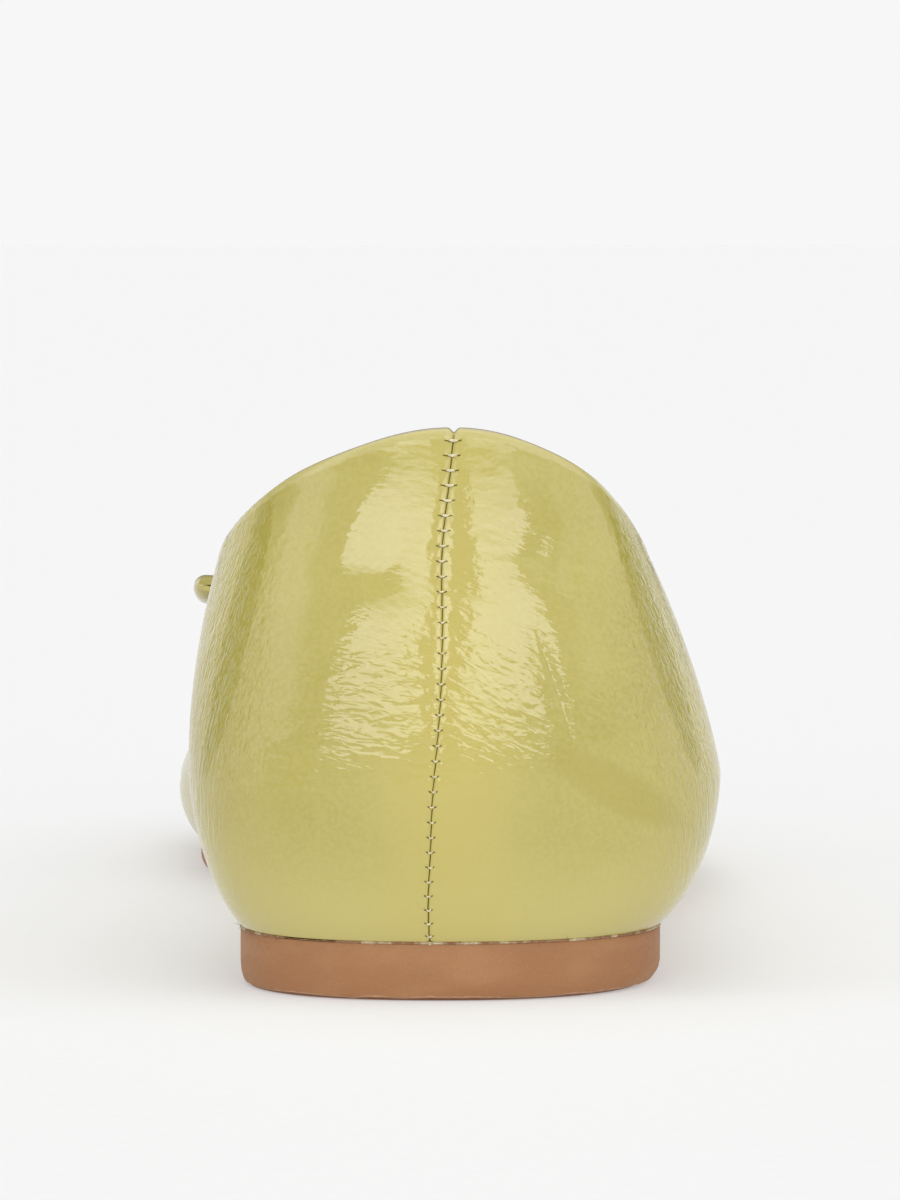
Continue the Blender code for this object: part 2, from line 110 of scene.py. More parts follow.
# Back seam: height over the floor and sideways place, both in millimetres.
SEAM_LINE = (
    (6.0, -2.74), (12.6, -2.77), (18.1, -2.44), (24.7, -2.16), (31.3, -1.61), (37.9, -1.13),
    (43.3, -0.96), (47.7, -0.96), (52.1, -1.10), (56.5, -0.98), (63.1, -0.20), (67.5, 0.33),
    (72.0, 0.80),
)


def spline(rows, pick):
    """Natural cubic spline through the picked value of each row, over the row's station."""
    station = np.array([row[0] for row in rows])
    value = np.array([pick(row) for row in rows])
    step = np.diff(station)
    count = len(rows)
    matrix = np.eye(count)
    bend = np.zeros(count)
    for i in range(1, count - 1):
        matrix[i, i - 1:i + 2] = step[i - 1], 2 * (step[i - 1] + step[i]), step[i]
        bend[i] = 6 * ((value[i + 1] - value[i]) / step[i] - (value[i] - value[i - 1]) / step[i - 1])
    bend = np.linalg.solve(matrix, bend)

    def at(place):
        place = np.clip(place, station[0], station[-1])
        i = np.clip(np.searchsorted(station, place) - 1, 0, count - 2)
        back = (station[i + 1] - place) / step[i]
        front = 1 - back
        curve = (back ** 3 - back) * bend[i] + (front ** 3 - front) * bend[i + 1]
        return back * value[i] + front * value[i + 1] + curve * step[i] ** 2 / 6

    return at


plan_centre = spline(PLAN, lambda row: row[1] * BALL_WIDTH)
plan_half = spline(PLAN, lambda row: (row[2] * HEEL_WIDTH + row[3] * WAIST_WIDTH + row[4] * BALL_WIDTH) / 2)
bulge_rise = spline(SECTIONS, lambda row: row[1] * BACK_HEIGHT + row[2] * VAMP_HEIGHT)
crown_rise = spline(SECTIONS, lambda row: row[3] * BACK_HEIGHT + row[4] * VAMP_HEIGHT)
side_lean = spline(SECTIONS, lambda row: row[5])
medial_tuck = spline(SECTIONS, lambda row: row[6] * BALL_WIDTH)
lateral_tuck = spline(SECTIONS, lambda row: row[7] * BALL_WIDTH)
collar_opening = spline(COLLAR, lambda row: row[1])
seam_place = spline(SEAM_LINE, lambda row: row[1] / 1000)


def ease(share):
    """Smooth step from 0 to 1."""
    share = np.clip(share, 0.0, 1.0)
    return share * share * (3 - 2 * share)


def toe_lift(y):
    """Rise of the sole in front of the forefoot tread."""
    return TOE_SPRING * np.maximum(0.0, (y - TREAD_FRONT) / (SHOE_LENGTH - TREAD_FRONT)) ** 2


def sole_top(y):
    """Height of the sole's upper face."""
    slope = ease((y - SLOPE_BACK) / (SLOPE_FRONT - SLOPE_BACK))
    return HEEL_THICKNESS + (SOLE_THICKNESS - HEEL_THICKNESS) * slope + toe_lift(y)


def ray(across, y):
    """Split places in the plan into their level, direction, and the cap they lie in."""
    rear, fore = y < HEEL_CENTRE, y > TOE_CENTRE
    end = np.where(rear, (HEEL_CENTRE - y) / HEEL_CAP, np.where(fore, (y - TOE_CENTRE) / TOE_CAP, 0.0))
    power = np.where(rear, HEEL_POWER, TOE_POWER)
    level = np.hypot(across, end)
    middle = level < 1e-9
    side = np.where(middle, 1.0, across / np.maximum(level, 1e-9))
    front = end / np.maximum(level, 1e-9)
    reach = (np.abs(side) ** power + front ** power) ** (-1 / power)
    way = np.where(rear, -1, 1)
    return level, side * reach, front * reach, way, np.clip(y, HEEL_CENTRE, TOE_CENTRE), \
        np.where(rear, HEEL_CAP, TOE_CAP)


def tuck_under(share, side):
    """Fall and tuck of the skin between the widest line and the feather line, as shares."""
    power = 2 / (TUCK_POWER + TUCK_SKEW * side)
    fall = np.sin(share * TUCK_TURN) ** power / sin(TUCK_TURN) ** power
    tuck = (1 - np.cos(share * TUCK_TURN) ** power) / (1 - cos(TUCK_TURN) ** power)
    return fall, tuck


def side_sizes(place, side):
    """Share of the length, tuck and half width at a station, on the side of a direction."""
    share = place / SHOE_LENGTH
    return share, np.where(side > 0, lateral_tuck(share), medial_tuck(share)), \
        plan_half(np.clip(place, HEEL_CENTRE, TOE_CENTRE) / SHOE_LENGTH)


def skin(across, y):
    """Points of the upper's outer face at levels across and stations along."""
    level, side, front, way, base, depth = ray(across, y)
    turn = np.minimum(level, 1.0) * pi / 2
    under = np.clip((level - 1) / (FEATHER_LEVEL - 1), 0.0, 1.0)
    wide = np.sin(turn)
    lift = np.where(level < 1, np.maximum(np.cos(turn), 0.0) ** CROWN_POWER, 0.0)
    fall, tuck = tuck_under(under, side)
    margin = np.maximum(level - FEATHER_LEVEL, 0.0) / (TURNED_LEVEL - FEATHER_LEVEL) * LASTING_MARGIN
    end_tuck = np.where(way < 0, BACK_TUCK, TOE_TUCK)
    place = base + way * front * (wide * depth - tuck * end_tuck - margin)
    share, side_tuck, half = side_sizes(place, side)
    rise = lift * crown_rise(share)
    x = plan_centre(share) + side * (wide * half - tuck * side_tuck - margin) + side_lean(share) * rise
    z = sole_top(place) + GAP + bulge_rise(share) * (1 - fall) + rise
    return np.stack((x, place, z), axis=-1)


def level_of(opening):
    """Level of the skin at a share of the half width."""
    return atan2(opening, sqrt(1 - opening ** 2)) / (pi / 2)


# Columns of each half are told by the turn round the heel, then the quarter, then the vamp.
CAP_END, QUARTER_END, VAMP_END = 8, 20, 46


def column_ends(column):
    """Places of the topline and the feather line on one column of a half of the upper."""
    if column <= CAP_END:
        turn = (1 - column / CAP_END) * pi / 2
        level = level_of(collar_opening((HEEL_CENTRE - HEEL_CAP * sin(turn)) / THROAT_BACK))
        return [(size * cos(turn), HEEL_CENTRE - HEEL_CAP * size * sin(turn))
                for size in (level, FEATHER_LEVEL)]
    if column <= QUARTER_END:
        y = HEEL_CENTRE + (THROAT_BACK - HEEL_CENTRE) * (column - CAP_END) / (QUARTER_END - CAP_END)
        return (level_of(collar_opening(y / THROAT_BACK)), y), (FEATHER_LEVEL, y)
    share = (column - QUARTER_END) / (VAMP_END - QUARTER_END)
    turn = share * pi / 2
    reach = (max(cos(turn), 0.0) ** THROAT_POWER + sin(turn) ** THROAT_POWER) ** (-1 / THROAT_POWER)
    top = (level_of(collar_opening(1.0) * max(cos(turn), 0.0) * reach),
           THROAT_BACK + (THROAT_FRONT - THROAT_BACK) * sin(turn) * reach)
    straight = (TOE_CENTRE - THROAT_BACK) / TOE_CAP
    path = share * (straight + FEATHER_LEVEL * pi / 2)
    if path <= straight:
        return top, (FEATHER_LEVEL, THROAT_BACK + path * TOE_CAP)
    turn = (path - straight) / FEATHER_LEVEL
    return top, (FEATHER_LEVEL * cos(turn), TOE_CENTRE + TOE_CAP * FEATHER_LEVEL * sin(turn))


# Columns lie close together along the back seam and wider apart along the sides and the toe; round
# the heel their places are millimetres from the seam.
HEEL_TURN_RUN = 46.9
beside_seam = [0, 0.1, 0.2, 0.32, 0.46, 0.62, 0.8, 1.0, 1.25, 1.6, 2.1, 2.8]
round_heel = np.concatenate((beside_seam, np.arange(3.7, 27, 0.9), np.arange(28.2, 45.5, 1.6)))
half_columns = np.concatenate((
    round_heel / HEEL_TURN_RUN * CAP_END,
    np.linspace(CAP_END, QUARTER_END, 33),
    np.linspace(QUARTER_END, VAMP_END, 65)[1:],
))
SKIN_ROWS = 200
MARGIN_ROWS = 6
ROLL_ROWS = 6
FOLD_ROUND = 0.0006
SKIN_RUN = 0.075
EVEN_LENGTH = 0.90
SEAM_FOLLOW = 0.55


def column_places(column, side, start, rows):
    """Places down one column, closer together low on the long ones, to the margin's inner edge."""
    top, feather = column_ends(column)
    length = hypot(feather[0] - top[0], (feather[1] - top[1]) / TOE_CAP)
    pack = min(1.0, EVEN_LENGTH / length)
    left = np.linspace(1 - start, 0, rows + 1)
    share = 1 - pack * left - (1 - pack) * left ** 2
    across = top[0] + (feather[0] - top[0]) * share
    y = top[1] + (feather[1] - top[1]) * share
    size = 1 + (TURNED_LEVEL / FEATHER_LEVEL - 1) * np.arange(1, MARGIN_ROWS + 1) / MARGIN_ROWS
    base = np.clip(feather[1], HEEL_CENTRE, TOE_CENTRE)
    across = np.concatenate((across, feather[0] * size))
    y = np.concatenate((y, base + (feather[1] - base) * size))
    return side * across, y


def slide_to_seam(across, y, column):
    """Turn the places round the heel, so that the first column runs up the slanted back seam."""
    base = np.maximum(HEEL_CENTRE - y, 0.0) / HEEL_CAP
    straight = skin(np.zeros_like(y), HEEL_CENTRE - np.hypot(across, base) * HEEL_CAP)
    shift = (seam_place(straight[..., 2] * 1000) - straight[..., 0]) / (HEEL_WIDTH / 2)
    turn = shift * np.exp(-(column / (CAP_END * SEAM_FOLLOW)) ** 2)
    return across * np.cos(turn) + base * np.sin(turn), \
        HEEL_CENTRE - HEEL_CAP * (base * np.cos(turn) - across * np.sin(turn))


def shell_columns(start_run, rows):
    """Outer face of the upper on every column, from a run below the topline."""
    made = []
    for side in (-1, 1):
        for column in (half_columns if side < 0 else half_columns[-2::-1]):
            across, y = column_places(column, side, start_run / SKIN_RUN, rows)
            if column < CAP_END:
                across, y = slide_to_seam(across, y, column)
            made.append(skin(across, y))
    return np.array(made)


def unit(vectors):
    """Vectors of length 1."""
    return vectors / np.maximum(np.linalg.norm(vectors, axis=-1, keepdims=True), 1e-12)


def outward(points):
    """Outward directions on a ring of columns whose last column is its first."""
    ring = points[:-1]
    along = np.roll(ring, -1, axis=0) - np.roll(ring, 1, axis=0)
    down = np.gradient(points, axis=1)[:-1]
    out = unit(np.cross(down, along))
    if out[0, 0, 1] > 0:
        out = -out
    return np.concatenate((out, out[:1]))


def wall_ring(points, out, outside, inside, keep, roll=ROLL_ROWS):
    """Closed section of a wall on every column: outer face, rounded foot, inner face, rounded top."""
    thick = (inside - outside) / 2
    turns = np.linspace(0, pi, roll + 2)[1:-1, None]

    def half_round(end, next_row):
        beyond = unit(points[:, end] - points[:, next_row])
        middle = points[:, end] - out[:, end] * (outside + thick)
        return [middle + thick * (out[:, end] * np.cos(turn) + beyond * np.sin(turn)) for turn in turns]

    foot = half_round(-1, -2)
    top = half_round(0, 1)[::-1]
    inner = [points[:, row] - out[:, row] * inside for row in keep[::-1]]
    outer = [points[:, row] - out[:, row] * outside for row in range(points.shape[1])]
    return np.stack(outer + foot + inner + top + outer[:1], axis=1)


def net(places):
    """Closed net of faces whose vertices take the places, by column and row."""
    made = bmesh.new()
    columns, rows = places.shape[0] - 1, places.shape[1] - 1
    bmesh.ops.create_grid(made, x_segments=columns, y_segments=rows, size=1.0)
    for vert in made.verts:
        column, row = round((vert.co.x + 1) / 2 * columns), round((vert.co.y + 1) / 2 * rows)
        vert.co = places[column, row]
        vert.index = column * (rows + 1) + row
    return made


def mark(made, name, values):
    """Write one number on each vertex of a net."""
    layer = made.verts.layers.float.new(name)
    flat = values.reshape(-1)
    for vert in made.verts:
        vert[layer] = flat[vert.index]


SEAM_MERGE = 0.000001


def finish_piece(name, made, finish):
    """Close the seams of a bmesh, turn its faces outwards and make it a piece of the shoe."""
    bmesh.ops.remove_doubles(made, verts=made.verts, dist=SEAM_MERGE)
    bmesh.ops.recalc_face_normals(made, faces=made.faces)
    if made.calc_volume(signed=True) < 0:
        bmesh.ops.reverse_faces(made, faces=made.faces)
    bmesh.ops.translate(made, vec=(MIDDLE_X, BACK_Y, 0), verts=made.verts)
    mesh = bpy.data.meshes.new(name)
    made.to_mesh(mesh)
    made.free()
    mesh.shade_smooth()
    mesh.materials.append(finish.material)
    piece = bpy.data.objects.new(name, mesh)
    bpy.context.scene.collection.objects.link(piece)
    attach(piece, "root")
    return piece


class Signal:
    """A value, vector or colour on its way through a node tree."""

    def __init__(self, finish, socket):
        self.finish, self.socket = finish, socket

    def maths(self, operation, *values):
        return self.finish.node("ShaderNodeMath", {"operation": operation}, values)

    def __add__(self, other):
        return self.maths("ADD", self, other)

    __radd__ = __add__

    def __sub__(self, other):
        return self.maths("SUBTRACT", self, other)

    def __rsub__(self, other):
        return self.maths("SUBTRACT", other, self)

    def __mul__(self, other):
        return self.maths("MULTIPLY", self, other)

    __rmul__ = __mul__

    def __truediv__(self, other):
        return self.maths("DIVIDE", self, other)

    def __abs__(self):
        return self.maths("ABSOLUTE", self)

    def step(self, low, high, to_low=0.0, to_high=1.0):
        """Smooth change between two values of this one, from 0 to 1 unless other ends are given."""
        return self.finish.node("ShaderNodeMapRange", {"interpolation_type": "SMOOTHSTEP"},
                                {"Value": self, "From Min": low, "From Max": high,
                                 "To Min": to_low, "To Max": to_high})

    def fade(self, low, high):
        """Smooth change from 1 to 0 between two values of this one."""
        return self.step(low, high, 1.0, 0.0)


class Finish:
    """A material, or the sky of the studio, with its nodes."""

    def __init__(self, name, tree=None):
        if tree is None:
            self.material = bpy.data.materials.new(name)
            self.material.use_nodes = True
            tree = self.material.node_tree
            self.shader = tree.nodes["Principled BSDF"]
        self.tree = tree

    def node(self, kind, settings=None, sockets=None, out=0):
        """Add a node: its settings first, then the values or links of its sockets."""
        made = self.tree.nodes.new(kind)
        for name, value in (settings or {}).items():
            setattr(made, name, value)
        pairs = sockets.items() if isinstance(sockets, dict) else enumerate(sockets or ())
        for key, value in pairs:
            if isinstance(value, Signal):
                self.tree.links.new(value.socket, made.inputs[key])
            else:
                made.inputs[key].default_value = value
        return Signal(self, made.outputs[out])

    def place(self):
        return self.node("ShaderNodeTexCoord", out="Object")

    def field(self, name):
        return self.node("ShaderNodeAttribute", {"attribute_name": name}, out="Fac")

    def fitted(self, place, sizes, turn=(0, 0, 0), centre=(0, 0, 0)):
        """Place in units of a pattern's sizes in millimetres, turned in degrees about a centre."""
        return self.node("ShaderNodeMapping", {"vector_type": "TEXTURE"},
                         {"Vector": place, "Location": centre, "Rotation": [radians(angle) for angle in turn],
                          "Scale": [size / 1000 for size in sizes]})

    def noise(self, place, sizes, detail=2.0, rough=0.5, warp=0.0, turn=(0, 0, 0)):
        """Noise in patches of about these sizes."""
        return self.node("ShaderNodeTexNoise", {},
                         {"Vector": self.fitted(place, sizes, turn), "Scale": 1.0, "Detail": detail,
                          "Roughness": rough, "Distortion": warp})

    def spot(self, place, centre, sizes, tilt, soft):
        """1 inside an ellipsoid tilted about Y, fading to 0 at its border."""
        length = self.node("ShaderNodeVectorMath", {"operation": "LENGTH"},
                           [self.fitted(place, sizes, (0, tilt, 0), centre)], "Value")
        return length.fade(1 - soft, 1 + soft)

    def mix(self, share, first, second):
        """Mix of two colours."""
        return self.node("ShaderNodeMix", {"data_type": "RGBA"}, {0: share, 6: first, 7: second}, 2)

    def tinted(self, colour, shares, tints):
        """Colour with each tint mixed in, where its share lies and as strongly as it says."""
        for share, (strength, tint) in zip(shares, tints):
            colour = self.mix(share * strength, colour, tint)
        return colour

    def bump(self, height):
        """Relief from a height in metres."""
        return self.node("ShaderNodeBump", {}, {"Strength": 1.0, "Distance": 1.0, "Height": height})

    def apply(self, **links):
        """Link or set the shader's own sockets."""
        for name, value in links.items():
            socket = self.shader.inputs[name.replace("_", " ").title().replace("Ior", "IOR")]
            if isinstance(value, Signal):
                self.tree.links.new(value.socket, socket)
            else:
                socket.default_value = value


# Patterns of the patent finish, as sizes in millimetres across, along and up, and detail: peel,
# ripple, grain and patches of tone. The first three give relief of these heights.
PATENT_PATTERNS = ((3.0, 3.0, 2.2), 2.0), ((1.4, 1.4, 0.9), 2.0), ((0.6, 0.6, 0.6), 2.0), ((20, 20, 15), 3.0)
PEEL_HEIGHT, RIPPLE_HEIGHT, GRAIN_HEIGHT = 0.00007, 0.000030, 0.0000025
GRAIN_SHARE = 0.27
OLIVE_DARK, OLIVE_PALE = (0.422, 0.363, 0.101, 1), (0.452, 0.392, 0.116, 1)
OLIVE_GRAIN = (0.520, 0.458, 0.165, 1)


def patent(name):
    """Crinkled patent leather: its finish, place, colour and relief away from seams and creases."""
    made = Finish(name)
    place = made.place()
    peel, ripple, grain, tone = (made.noise(place, sizes, detail) for sizes, detail in PATENT_PATTERNS)
    colour = made.mix(tone.step(0.35, 0.65), OLIVE_DARK, OLIVE_PALE)
    colour = made.mix(grain.step(0.35, 0.65) * GRAIN_SHARE, colour, OLIVE_GRAIN)
    return made, place, colour, peel * PEEL_HEIGHT + ripple * RIPPLE_HEIGHT + grain * GRAIN_HEIGHT


# Wrinkles of the back and the sides: sizes, turns about X, Y and Z in degrees, detail and warp.
WRINKLES = {
    "strokes": ((3.4, 3.4, 1.05), (0, 9, 0), 1.5, 0.7),
    "hatch": ((2.2, 2.2, 0.6), (0, 24, 0), 2.0, 0.3),
    "slant": ((3.0, 3.0, 1.0), (0, 27, 0), 1.8, 0.6),
    "pleats": ((0.6, 0.6, 3.6), (19, 0, 0), 1.0, 0.4),
    "crinkle": ((0.6, 0.6, 2.8), (28, 0, 0), 1.6, 0.6),
}
STROKE_HEIGHT, HATCH_HEIGHT, SLANT_HEIGHT = 0.00013, 0.000042, 0.00009
PLEAT_HEIGHT, CRINKLE_HEIGHT, DENT_DEPTH = 0.00028, 0.00044, 0.00013
UPPER_STROKES, STROKES_BETWEEN = 0.30, 0.03
# Zones where they lie or the colour changes, in millimetres: middle across, up and forward of the
# rearmost point, half sizes across, along and up, tilt in degrees, softness of the border.
ZONES = {
    "left_strokes": (-9.5, 37.0, 4, (10.0, 30, 8.2), 0, 0.28),
    "right_strokes": (8, 37.0, 4, (11.0, 30, 9.0), 0, 0.28),
    "upper_strokes": (-5, 64, 4, (8, 30, 6), 0, 0.5),
    "left_hatch": (-6, 46, 4, (7.0, 30, 8.0), 0, 0.5),
    "right_hatch": (9, 52, 4, (9, 30, 7.0), 0, 0.5),
    "left_pleats": (-30.5, 44, 22, (8.5, 30, 26), 0, 0.5),
    "right_crinkle": (29.0, 42, 22, (9.0, 30, 26), 0, 0.5),
    "dent": (12.9, 38.9, 4, (0.5, 20, 5.2), -17, 1.0),
    # Painted light: the middle of the heel back is tinted paler where it faces the soft boxes.
    "centre": (0, 36, 4, (7, 20, 28), 0, 0.9),
    # Painted dark reflections: darker bands on both sides of the heel, where the glossy leather mirrors dark
    # parts of the room.
    "dark_reflection_left": (-26.2, 45.0, 12, (1.5, 14, 18.5), 13, 0.5),
    "dark_reflection_right": (25.4, 44.6, 12, (1.4, 14, 18.5), -18, 0.5),
    # Painted dark reflections lower on both sides: a darker tint where the leather mirrors dark parts of the
    # room.
    "low_dark_reflection_left": (-20.0, 25.5, 4, (5.2, 20, 5.2), -30, 0.9),
    "low_dark_reflection_right": (20.5, 26.0, 4, (10.0, 20, 2.6), 31, 0.55),
    # Painted shade on the medial forefoot, where the leather is also rougher.
    "scuffed_and_shaded": (-38.5, 18, 165, (12, 40, 18), 0, 0.95),
}
# Tints over the plain leather, strength and colour: a painted paler band low down for light from the floor,
# the painted lighter middle where the back faces the soft boxes, painted dark reflections along both sides
# and lower on both sides, painted shade on the rougher medial forefoot, in the gaps, a painted highlight
# on the fold and the colour of its cut edge.
TINTS = (
    (0.82, (0.545, 0.478, 0.168, 1)), (0.90, (0.520, 0.440, 0.126, 1)), (0.85, (0.350, 0.303, 0.052, 1)),
    (0.55, (0.400, 0.334, 0.074, 1)), (0.40, (0.300, 0.255, 0.080, 1)), (1.00, (0.115, 0.086, 0.003, 1)),
    (0.35, (0.60, 0.55, 0.28, 1)), (1.00, (0.33, 0.29, 0.20, 1)),
)
# Heights where the painted paler band low down, standing in for light from the floor, fades out.
FLOOR_LIGHT_BAND = (0.007, 0.024)
# How much the wrinkles break up the painted dark reflections, and how strong the lower left one is.
DARK_REFLECTION_BREAK, LOW_DARK_REFLECTION_LEFT, LOW_DARK_REFLECTION_BREAK = 0.7, 0.6, 0.5
# Back seam: stitches, the open joint that they pull from side to side, and the slits they go through.
STITCH_PITCH = 0.00188
FIRST_STITCH = 0.00125
REACH_RUN = (0.002, 0.026)
REACH_HIGH, REACH_LOW = 0.00102, 0.00052
JOINT_PULL, JOINT_EDGE = 0.00011, (0.00003, 0.00010)
SLIT_SLANT, SLIT_DROP, SLIT_EDGE = 0.00017, 0.00012, (0.00005, 0.00014)
SLIT_START, SLIT_END = (0.22, 0.34), (0.95, 1.15)
# Raggedness and run below the topline of the painted highlight on the fold, and run of the cut edge's colour.
FOLD_RAGGED, FOLD_EDGE, CUT_EDGE = 0.0009, (0.0013, 0.0016), (-0.0004, 0.0)
GLOSS, SCUFFED_ROUGH, GAP_ROUGH, GAP_METAL = 0.055, 0.12, 0.45, 0.9

leather, spot_on, colour, relief = patent("crinkled_patent_leather")
strokes, hatch, slant, pleats, crinkle = (leather.noise(spot_on, sizes, detail, 0.5, warp, turn)
                                          for sizes, turn, detail, warp in WRINKLES.values())
zone = {name: leather.spot(spot_on, (MIDDLE_X + x / 1000, BACK_Y + y / 1000, z / 1000), sizes, tilt, soft)
        for name, (x, z, y, sizes, tilt, soft) in ZONES.items()}
relief = (relief
          + strokes * (zone["left_strokes"] + zone["upper_strokes"] * UPPER_STROKES + STROKES_BETWEEN)
          * STROKE_HEIGHT
          + hatch * (zone["left_hatch"] + zone["right_hatch"]) * HATCH_HEIGHT
          + slant * zone["right_strokes"] * SLANT_HEIGHT
          + pleats * zone["left_pleats"] * PLEAT_HEIGHT
          + crinkle * zone["right_crinkle"] * CRINKLE_HEIGHT - zone["dent"] * DENT_DEPTH)
up = leather.node("ShaderNodeSeparateXYZ", {}, [spot_on], "Z")
# Painted dark reflections along both sides, broken up by the wrinkles.
dark_reflection = zone["dark_reflection_left"] + zone["dark_reflection_right"]
dark_reflection = (dark_reflection + (pleats + crinkle - 1.0) * DARK_REFLECTION_BREAK).step(0.30, 0.62)
# Painted dark reflections lower on both sides, broken up by the crinkles.
low_dark_reflection = zone["low_dark_reflection_right"] + zone["low_dark_reflection_left"] * LOW_DARK_REFLECTION_LEFT
low_dark_reflection = (low_dark_reflection + (crinkle - 0.5) * LOW_DARK_REFLECTION_BREAK).step(0.15, 0.95)
seam_side, from_top = leather.field("seam_side"), leather.field("from_top")
slit_reach = from_top.step(*REACH_RUN, REACH_HIGH, REACH_LOW)
phase = (from_top - FIRST_STITCH) * (1 / STITCH_PITCH)
pulled = (phase.maths("FRACT", phase) - 0.5) * JOINT_PULL
joint = abs(seam_side + pulled).fade(*JOINT_EDGE)
drop = (phase - phase.maths("ROUND", phase)) * STITCH_PITCH
share = abs(seam_side) / slit_reach
slit = abs(drop + share * SLIT_SLANT - SLIT_DROP).fade(*SLIT_EDGE)
slit = slit * share.step(*SLIT_START) * share.fade(*SLIT_END)
gap = joint.maths("MAXIMUM", joint, slit)
# Painted highlight: a paler ragged band along the fold of the topline, where the rolled edge catches the
# light.
ragged = leather.noise(spot_on, (2.2, 2.2, 1.0), 3.0)
painted_fold_highlight = (from_top + ragged * FOLD_RAGGED).fade(*FOLD_EDGE)
colour = leather.tinted(colour, (
    up.fade(*FLOOR_LIGHT_BAND), zone["centre"], dark_reflection, low_dark_reflection, zone["scuffed_and_shaded"], gap, painted_fold_highlight,
    from_top.fade(*CUT_EDGE)), TINTS)
leather.apply(base_color=colour, roughness=zone["scuffed_and_shaded"] * SCUFFED_ROUGH + gap * GAP_ROUGH + GLOSS,
              metallic=gap * GAP_METAL, specular_ior_level=0.5, normal=leather.bump(relief))

# Soft troughs where the leather creases, in millimetres on the back of the heel: start and end
# (across, up), width over and under the line, depth.
BACK_CREASES = (
    ((-13.8, 54.7), (-4.6, 51.8), 8.0, 3.4, 0.640),
    ((8.8, 55.4), (13.0, 54.0), 5.0, 2.2, 0.300),
    ((12.5, 53.0), (17.0, 52.0), 6.0, 3.0, 0.380),
    ((10.2, 46.5), (15.1, 32.0), 0.55, 1.50, 0.200),
    ((15.5, 30.7), (18.3, 18.6), 0.70, 2.00, 0.060),
    ((-13.5, 35.4), (-6.0, 33.4), 1.5, 0.8, 0.035),
    ((16.5, 29.5), (26.0, 23.0), 2.2, 5.0, 0.260),
)
CREASE_FADE = 0.004
CREASE_ENDS = 0.35


def hump(away, width, height=1.0):
    """Soft rounded hump of a width and height, at a distance from its middle."""
    return height * np.exp(-(away / width) ** 2)


def crease_depth(points):
    """Depth of the creases on the back, at points of the skin."""
    across, up = points[..., 0] * 1000, points[..., 2] * 1000
    near = ease((HEEL_CENTRE - points[..., 1]) / CREASE_FADE)
    depth = np.zeros_like(across)
    for start, end, width_over, width_under, deep in BACK_CREASES:
        run = np.array(end) - start
        share = np.clip(((across - start[0]) * run[0] + (up - start[1]) * run[1]) / (run @ run), 0, 1)
        aside, over = across - start[0] - share * run[0], up - start[1] - share * run[1]
        lies_over = over * run[0] - aside * run[1] > 0
        away = np.hypot(aside, over)
        width = np.where(lies_over, width_over, width_under)
        fade = CREASE_ENDS + (1 - CREASE_ENDS) * np.sin(share * pi)
        depth += fade * hump(away, width, deep / 1000)
    return depth * near


def run_along(points):
    """Run from the first point of each line to every point of it."""
    steps = np.linalg.norm(np.diff(points, axis=-2), axis=-1)
    return np.concatenate((np.zeros(steps.shape[:-1] + (1,)), np.cumsum(steps, axis=-1)), axis=-1)


def places_at(distance, line_run, *lines):
    """Places at a run, or several, along lines of points with one run."""
    return [np.stack([np.interp(distance, line_run, line[:, axis]) for axis in range(3)], axis=-1)
            for line in lines]


# Relief along the back seam, as width and height: the sunken joint, the quarters' slope into it
# between two stitches, the pinch at each stitch, the notch at the top and the rim of the fold.
JOINT_SINK = (0.00011, 0.00020)
QUARTER_SLOPE = (0.00066, 0.000085)
PINCH_AT, PINCH = 0.00055, (0.00042, 0.00006)
NOTCH, NOTCH_RUN = (0.00042, 0.00050), 0.0012
RIM_AT, RIM = 0.0006, (0.0007, 0.00008)
BETWEEN_GAIN = 2.2
LEATHER_WALL = 0.0012
ROWS_INSIDE = 10

skin_points = shell_columns(FOLD_ROUND, SKIN_ROWS)
skin_out = outward(skin_points)
run = run_along(skin_points)
seam_points, seam_out = skin_points[0].copy(), skin_out[0].copy()
beside = np.linalg.norm(skin_points - skin_points[:1], axis=-1)
side_run = beside.copy()
side_run[:len(half_columns)] *= -1
stitch_phase = (run[:1] - FIRST_STITCH) / STITCH_PITCH
between = ease(np.sin(np.clip(stitch_phase, -0.5, None) * pi) ** 2 * BETWEEN_GAIN)
slope_in = between * np.clip(1 - beside / QUARTER_SLOPE[0], 0, 1) * QUARTER_SLOPE[1]
pinch = (1 - between) * hump(beside - PINCH_AT, *PINCH)
lift = hump(run - RIM_AT, *RIM) - slope_in - pinch - hump(beside, *JOINT_SINK) - crease_depth(skin_points)
shaped = skin_points + skin_out * lift[..., None]
shaped[..., 2] -= hump(beside, *NOTCH) * hump(run, NOTCH_RUN)
last_row = SKIN_ROWS + MARGIN_ROWS
ring = wall_ring(shaped, skin_out, 0.0, LEATHER_WALL, list(range(0, last_row + 1, ROWS_INSIDE)) + [last_row])
shell = net(ring)
far, down = np.full(ring.shape[:2], 1.0), np.full(ring.shape[:2], 1.0)
far[:, :last_row + 1], down[:, :last_row + 1] = side_run, run
far[:, -1], down[:, -1] = side_run[:, 0], run[:, 0]
down[:, -ROLL_ROWS - 1:-1] = -np.linspace(pi * 0.9, pi * 0.1, ROLL_ROWS) * FOLD_ROUND
mark(shell, "seam_side", far)
mark(shell, "from_top", down)
upper = finish_piece("leather_upper", shell, leather)
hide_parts("upper")

# LINING
# Pale leather lining of the quarters and vamp, cemented inside the upper a little below the fold of
# its topline and running down to the insole.
LINING_WALL = 0.0005
LINING_DROP = 0.0016
LINING_CLEAR = 0.00003
LINING_ROWS = 60
LINING_ROWS_INSIDE = 4
LINING_ROLL = 3


